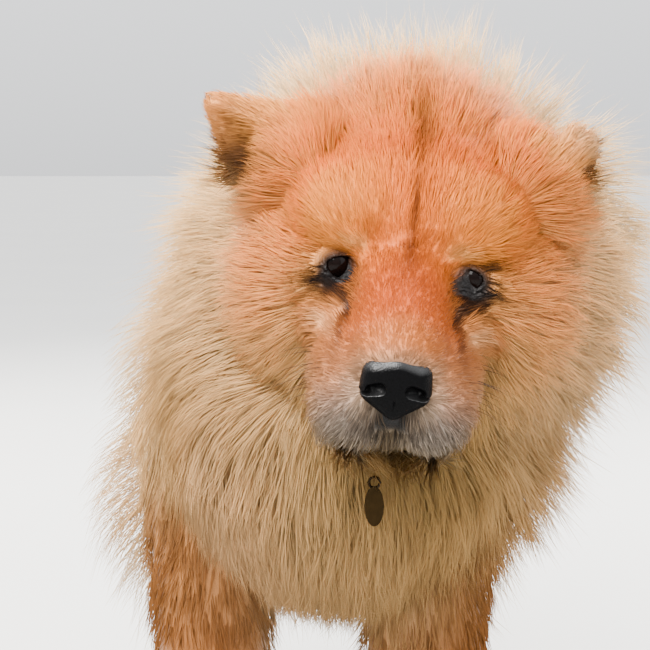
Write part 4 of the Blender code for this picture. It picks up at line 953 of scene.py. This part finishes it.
in_face = to_head(hide_middles)
in_head = (in_face[:, 1] < 0.075) & (np.linalg.norm(in_face, axis=1) < 0.17)
ears = np.zeros(len(hide_middles), dtype=bool)
for side in SIDES:
    to_ear = np.array((HEAD @ ear_frame(side)[0]).inverted())
    in_ear = hide_middles @ to_ear[:3, :3].T + to_ear[:3, 3]
    ears |= (np.abs(in_ear[:, 0]) < 0.036) & (np.abs(in_ear[:, 1]) < 0.022) & (in_ear[:, 2] > -0.002)
face = in_head & (hide_plan["length"] < 0.0165) & ~ears
full = in_head & ~face & ~ears
on_body = hide_middles - np.array(SHIFT)
tail = np.zeros(len(hide_middles), dtype=bool)
for (at_a, _), (at_b, _) in zip(TAIL_RUN, TAIL_RUN[1:]):
    start, end = np.array(at_a), np.array(at_b)
    reach = np.clip((on_body - start) @ (end - start) / ((end - start) ** 2).sum(), 0, 1)
    gap = np.linalg.norm(on_body - (start + reach[:, None] * (end - start)), axis=1)
    tail |= (gap < 0.045) & (on_body[:, 2] > 0.470 + 0.02 * (on_body[:, 1] < 0.38))
legs = (on_body[:, 2] < 0.235) & (np.abs(on_body[:, 0]) > 0.02) & ~in_head
rest = ~in_head & ~ears & ~tail & ~legs
nape = np.array(NECK_RUN[1][0])
collar = rest & (np.linalg.norm(on_body - nape, axis=1) < 0.165)
bib = (collar & (on_body[:, 1] < nape[1] - 0.01)) | (rest & (on_body[:, 1] < -0.045) & (on_body[:, 2] < 0.44))
mane = collar & ~bib
trunk = rest & ~mane & ~bib
round_head = wound(HEAD @ Vector((0, -0.10, -0.03)), HEAD @ Vector((0, 0.12, 0.0)))
round_body = wound(Vector((0.05, -0.16, 0.45)) + SHIFT, Vector((0, 0.46, 0.40)) + SHIFT)
round_tail = wound(TAIL_RUN[0][0] + SHIFT, TAIL_RUN[-1][0] + SHIFT)
down_fore = wound((0, -0.15, 0.30), (0, -0.15, 0.0))
down_hind = wound((0, 0.20, 0.30), (0, 0.20, 0.0))
low = in_face[:, 2] < 0.012
right_half = on_body[:, 0] < nape[0]
fore = on_body[:, 1] < 0.17
pieces = (
    # name, part of the hide, tufts, how far they gather, share of strays, unwrap, material, slot
    ("face_coat", face, 12200, 0.22, 0.02, round_head, short_hair, "face_coat"),
    ("cheek_coat", full & low, 11800, 0.35, 0.05, round_head, long_hair, "face_coat"),
    ("crown_coat", full & ~low, 11800, 0.30, 0.05, round_head, long_hair, "face_coat"),
    ("ear_coat", ears, 4400, 0.25, 0.03, round_head, short_hair, "face_coat"),
    ("mane_coat_right", mane & right_half, 8000, 0.36, 0.08, round_body, long_hair, "body_coat"),
    ("mane_coat_left", mane & ~right_half, 11000, 0.36, 0.10, round_body, long_hair, "body_coat"),
    ("bib_coat", bib, 12200, 0.36, 0.05, round_body, long_hair, "body_coat"),
    ("shoulder_coat", trunk & fore, 6600, 0.45, 0.04, round_body, long_hair, "body_coat"),
    ("rump_coat", trunk & ~fore, 6600, 0.45, 0.04, round_body, long_hair, "body_coat"),
    ("tail_coat", tail, 3600, 0.45, 0.08, round_tail, long_hair, "body_coat"),
    ("foreleg_coat", legs & fore, 4600, 0.30, 0.03, down_fore, short_hair, "leg_coat"),
    ("hind_leg_coat", legs & ~fore, 4600, 0.30, 0.03, down_hind, short_hair, "leg_coat"),
)
for seed, (name, mask, *how) in enumerate(pieces):
    coat(name, 100 + seed, mask, *how)


# Whiskers. A few stiff dark hairs from each side of the muzzle, made as the tufts are,
# but round and with a long fine point.

WHISKER_STEPS = 6


def whisker_strands(rng):
    """Curved strands with their roots in three rows on each side of the muzzle."""
    spots = [(0.030 + 0.005 * row, -0.052 + 0.010 * column, -0.044 - 0.007 * row)
             for row in range(3) for column in range(4)]
    strands = []
    for side in (-1, 1):
        for x, y, z in spots:
            root, out = hide_tree.find_nearest(HEAD @ Vector((side * x, y, z)))[:2]
            way = (out * 1.2 + HEAD.to_3x3() @ Vector((side * 0.9, 0.55, -0.30))
                   + Vector(rng.normal(0, 0.18, 3))).normalized()
            step = rng.uniform(0.020, 0.036) / WHISKER_STEPS
            line = [root]
            for _ in range(WHISKER_STEPS):
                way = (way + Vector((0, 0.05, -0.10))).normalized()
                line.append(line[-1] + way * step)
            strands.append(line)
    return np.array(strands)


def whisker_material():
    """Stiff whiskers: nearly black horn with a fine streak and a low gloss."""
    material, tree, place = new_material("stiff dark whisker")
    along = add(tree, "ShaderNodeAttribute", attribute_name="Along")
    amount = worked(tree, "MULTIPLY", along.outputs["Fac"], noise(tree, place, 700.0))
    surfaced(tree, Base_Color=between(tree, amount, "#1a1210", "#5a4334"), Roughness=0.6,
             Specular_IOR_Level=0.1)
    return material


whiskers = whisker_strands(np.random.default_rng(7))
piece = grown("whiskers", whiskers, {
    "Hide": np.tile((0.0, 0.0, 1.0), (len(whiskers), 1)), "Width": np.full(len(whiskers), 0.00036),
    "Spot": round_head(whiskers[:, 0])}, whisker_material(), sides=5, root_width=1.0, point=1.6)


# Eyes. Two small dark eyes: each a glossy ball with a wet cornea over a nearly black brown iris,
# set behind the lids of the hide, which leave an almond opening.

def eye_material():
    """A wet dark eye: nearly black brown iris under a clear smooth cornea."""
    material, tree, place = new_material("wet dark eye")
    fleck = noise(tree, place, 600.0, 3.0)
    surfaced(tree, Base_Color=between(tree, fleck, "#030202", "#0f0705"), Roughness=0.05,
             Specular_IOR_Level=0.06)
    return material


eye_surface = eye_material()
for side, sign in SIDES.items():
    bm = bmesh.new()
    ball(bm, HEAD @ Vector((EYE_AT.x * sign, EYE_AT.y, EYE_AT.z)), (EYE_RADIUS,) * 3, 4)
    eyeball = object_from(bm, f"eyeball_{side}")
    eyeball.data.shade_smooth()
    eyeball.data.materials.append(eye_surface)
    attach(eyeball, "root")
    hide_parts(f"eye_{side}")


# Nose. The broad black leather of the nose, pebbled and a little damp, drawn tight over a few
# balls, with a comma nostril cut in each side and a groove between them.

def nose_piece():
    """A rounded shield that narrows down to the lip, with two nostrils and their slits cut in."""
    def placed(*parts):
        return [(NOSE_AT + Vector(at), radii) for at, radii in parts]

    spots = placed(
        ((0, 0.003, -0.0160), (0.0055, 0.0080, 0.0050)),
        ((0, 0.002, 0.0095), (0.0115, 0.0120, 0.0085)))
    holes = []
    for side in (-1, 1):
        spots += placed(
            ((side * 0.0105, 0.003, 0.0065), (0.0085, 0.0120, 0.0085)),
            ((side * 0.0128, 0.002, -0.0035), (0.0070, 0.0110, 0.0080)))
        nostril = placed(
            ((side * 0.0086, -0.0120, -0.0008), (0.0040, 0.0080, 0.0042)),
            ((side * 0.0126, -0.0100, -0.0018), (0.0040, 0.0080, 0.0034)))
        slit = placed(
            ((side * 0.0140, -0.0080, -0.0040), (0.0018, 0.0060, 0.0016)),
            ((side * 0.0205, -0.0020, -0.0060), (0.0009, 0.0060, 0.0009)))
        holes += [object_from(hulled(nostril), "nostril"), object_from(hulled(slit), "nostril slit")]
    nose = melted(object_from(hulled(spots, 4), "nose_leather"), voxel=0.0006, passes=10)
    groove = bmesh.new()
    ball(groove, NOSE_AT + Vector((0, -0.0095, -0.0120)), (0.0006, 0.0045, 0.0085))
    boolean(nose, holes + [object_from(groove, "groove")], "DIFFERENCE")
    melted(nose, voxel=0.0005, passes=2)
    nose.data.transform(HEAD)
    return nose


def nose_material():
    """Black nose leather: pebbles under a millimetre across, damp enough for a soft sheen, with a
    painted sheen on top, where the leather is made to reflect more strongly as it faces up.
    """
    material, tree, place = new_material("pebbled nose leather")
    pebble = add(tree, "ShaderNodeTexVoronoi", {"Vector": place, "Scale": 1200.0}, feature="SMOOTH_F1")
    pebble = pebble.outputs["Distance"]
    # painted sheen: the reflection is made stronger on the upward-facing top of the nose than on its front
    facing = add(tree, "ShaderNodeNewGeometry").outputs["Normal"]
    rise = add(tree, "ShaderNodeSeparateXYZ", {0: facing}).outputs["Z"]
    bump = add(tree, "ShaderNodeBump", {"Height": pebble, "Strength": 0.5, "Distance": 0.0005}, invert=True)
    surfaced(tree, Base_Color=between(tree, pebble, "#070708", "#030303"),
             Roughness=ranged(tree, noise(tree, place, 160.0), 0.34, 0.48),
             Specular_IOR_Level=ranged(tree, rise, 0.02, 0.60, 0.10, 0.80), Normal=bump.outputs[0])
    return material


nose = nose_piece()
nose.data.shade_smooth()
nose.data.materials.clear()
nose.data.materials.append(nose_material())
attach(nose, "root")
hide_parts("nose")


# Claws. Sixteen blunt dark horn claws, one in the end of each toe, set by a node tree on the toes'
# own places and turned a little down, worn round at the tip.

def claw_material():
    """Worn horn: dark brown, with fine growth lines and a dull gloss."""
    material, tree, place = new_material("worn dark horn")
    lines = noise(tree, place, 900.0, 3.0)
    bump = add(tree, "ShaderNodeBump", {"Height": lines, "Strength": 0.3, "Distance": 0.0003})
    surfaced(tree, Base_Color=between(tree, lines, "#1c1613", "#4a3b30"), Roughness=0.45,
             Normal=bump.outputs[0])
    return material


def claw_tree():
    """A node tree that sets one claw on each point and makes them real."""
    tree = bpy.data.node_groups.new("claws on toes", "GeometryNodeTree")
    inputs = {}
    for name, kind in (("Toes", "Geometry"), ("Claw", "Object"), ("Droop", "Float"), ("Horn", "Material")):
        socket = tree.interface.new_socket(name, in_out="INPUT", socket_type="NodeSocket" + kind)
        inputs[name] = socket.identifier
    tree.interface.new_socket("Claws", in_out="OUTPUT", socket_type="NodeSocketGeometry")
    given = add(tree, "NodeGroupInput").outputs
    claw = add(tree, "GeometryNodeObjectInfo", {"Object": given["Claw"]})
    turn = add(tree, "ShaderNodeCombineXYZ", {"X": given["Droop"]})
    placed = add(tree, "GeometryNodeInstanceOnPoints", {
        "Points": given["Toes"], "Instance": claw.outputs["Geometry"], "Rotation": turn.outputs[0]})
    real = add(tree, "GeometryNodeRealizeInstances", {"Geometry": placed.outputs[0]})
    horned = add(tree, "GeometryNodeSetMaterial", {"Geometry": real.outputs[0], "Material": given["Horn"]})
    add(tree, "NodeGroupOutput", {"Claws": horned.outputs[0]})
    return tree, inputs


toes = bmesh.new()
for side in SIDES:
    for x, y, step in ((FORELEG_X, -0.020, FORE_STEP[side]), (HIND_X, 0.352, HIND_STEP[side])):
        paw = SHIFT + beside((x, y, 0.021), side, step)
        for across, ahead in TOES:
            toes.verts.new(paw + Vector((across, -ahead - 0.0120, -0.0098)))
claws = object_from(toes, "claws")
claw = object_from(hulled([
    ((0, 0.0030, 0.0), (0.0030, 0.0030, 0.0036)),
    ((0, -0.0020, -0.0004), (0.0023, 0.0030, 0.0029)),
    ((0, -0.0072, -0.0018), (0.0010, 0.0010, 0.0011)),
]), "one claw")
claw.data.shade_smooth()
setting, setting_inputs = claw_tree()
modifier = claws.modifiers.new("claws", "NODES")
modifier.node_group = setting
modifier[setting_inputs["Claw"]] = claw
modifier[setting_inputs["Droop"]] = math.radians(14)
modifier[setting_inputs["Horn"]] = claw_material()
apply_modifiers(claws)
claws.name = claws.data.name = "claws"
bpy.data.objects.remove(claw)
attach(claws, "root")


# Tag. The small blank oval tag that hangs in the hair of the chest keeps its solid form and gets the
# look of old brass, brown with wear and rubbed a little brighter in places.

def tag_material():
    """Dull brown brass: tarnish in soft clouds over a fine scratched grain."""
    material, tree, place = new_material("tarnished brass")
    cloud = noise(tree, place, 220.0, 4.0)
    scratch = noise(tree, place, 1500.0)
    bump = add(tree, "ShaderNodeBump", {"Height": scratch, "Strength": 0.25, "Distance": 0.0002})
    surfaced(tree, Base_Color=between(tree, cloud, "#1a1309", "#2a1f10"), Metallic=1.0,
             Roughness=ranged(tree, cloud, 0.60, 0.42), Normal=bump.outputs[0])
    return material


tag = bpy.data.objects["tag"]
tag_look = tag_material()
for holder in tag.material_slots:
    holder.material = tag_look


# Floor, light and camera. A plain pale floor, a large soft key from the front left, a fill, and two
# lights from behind that draw the pale edge round the mane. The camera stands where the photographer did.

def stage_material():
    """A plain matt pale floor with the faintest cloud in it."""
    material, tree, place = new_material("matt pale floor")
    tone = between(tree, noise(tree, place, 2.0), "#b9b8b5", "#c0bfbc")
    surfaced(tree, Base_Color=tone, Roughness=0.9)
    return material


bm = bmesh.new()
bmesh.ops.create_grid(bm, x_segments=1, y_segments=1, size=30.0)
floor = object_from(bm, "floor")
floor.data.materials.append(stage_material())


def area_light(name, place, aim, size, power, tint):
    """A square soft light that shines from one place towards another."""
    data = bpy.data.lights.new(name, "AREA")
    data.size = size
    data.energy = power
    data.color = tint
    light = bpy.data.objects.new(name, data)
    light.location = place
    light.rotation_euler = (Vector(aim) - Vector(place)).to_track_quat("-Z", "Y").to_euler()
    bpy.context.scene.collection.objects.link(light)


area_light("key", (-1.1, -1.9, 2.3), (0.03, -0.2, 0.45), 1.8, 330.0, (1.0, 0.98, 0.95))
area_light("fill", (1.9, -1.8, 1.1), (0.03, -0.2, 0.40), 1.8, 36.0, (0.97, 0.98, 1.0))
area_light("rim left", (-1.2, 1.8, 1.8), (0.03, -0.1, 0.5), 0.9, 170.0, (1.0, 0.97, 0.92))
area_light("rim right", (1.5, 1.5, 1.7), (0.03, -0.1, 0.5), 0.9, 180.0, (1.0, 0.97, 0.92))

world = bpy.data.worlds.new("studio")
world.use_nodes = True
sky = world.node_tree
sky.nodes.clear()
way = add(sky, "ShaderNodeTexCoord").outputs["Generated"]
height = add(sky, "ShaderNodeSeparateXYZ", {0: way}).outputs["Z"]
glow = ranged(sky, height, 0.80, 4.4, -0.2, 0.9)
studio = add(sky, "ShaderNodeBackground", {"Color": (0.90, 0.91, 0.93, 1), "Strength": glow})
add(sky, "ShaderNodeOutputWorld", {"Surface": studio.outputs[0]})
bpy.context.scene.world = world

FOCAL_PIXELS = 1400
FRAME_PIXELS = 650
CAMERA_DROP = math.radians(7.1)
lens = bpy.data.cameras.new("camera")
lens.sensor_width = 36.0
lens.lens = FOCAL_PIXELS / FRAME_PIXELS * lens.sensor_width
lens.clip_start = 0.05
camera = bpy.data.objects.new("camera", lens)
camera.location = Vector((0.005, -0.936, 0.56)) + SHIFT
camera.rotation_euler = (math.radians(90) - CAMERA_DROP, 0, 0)
bpy.context.scene.collection.objects.link(camera)
bpy.context.scene.camera = camera
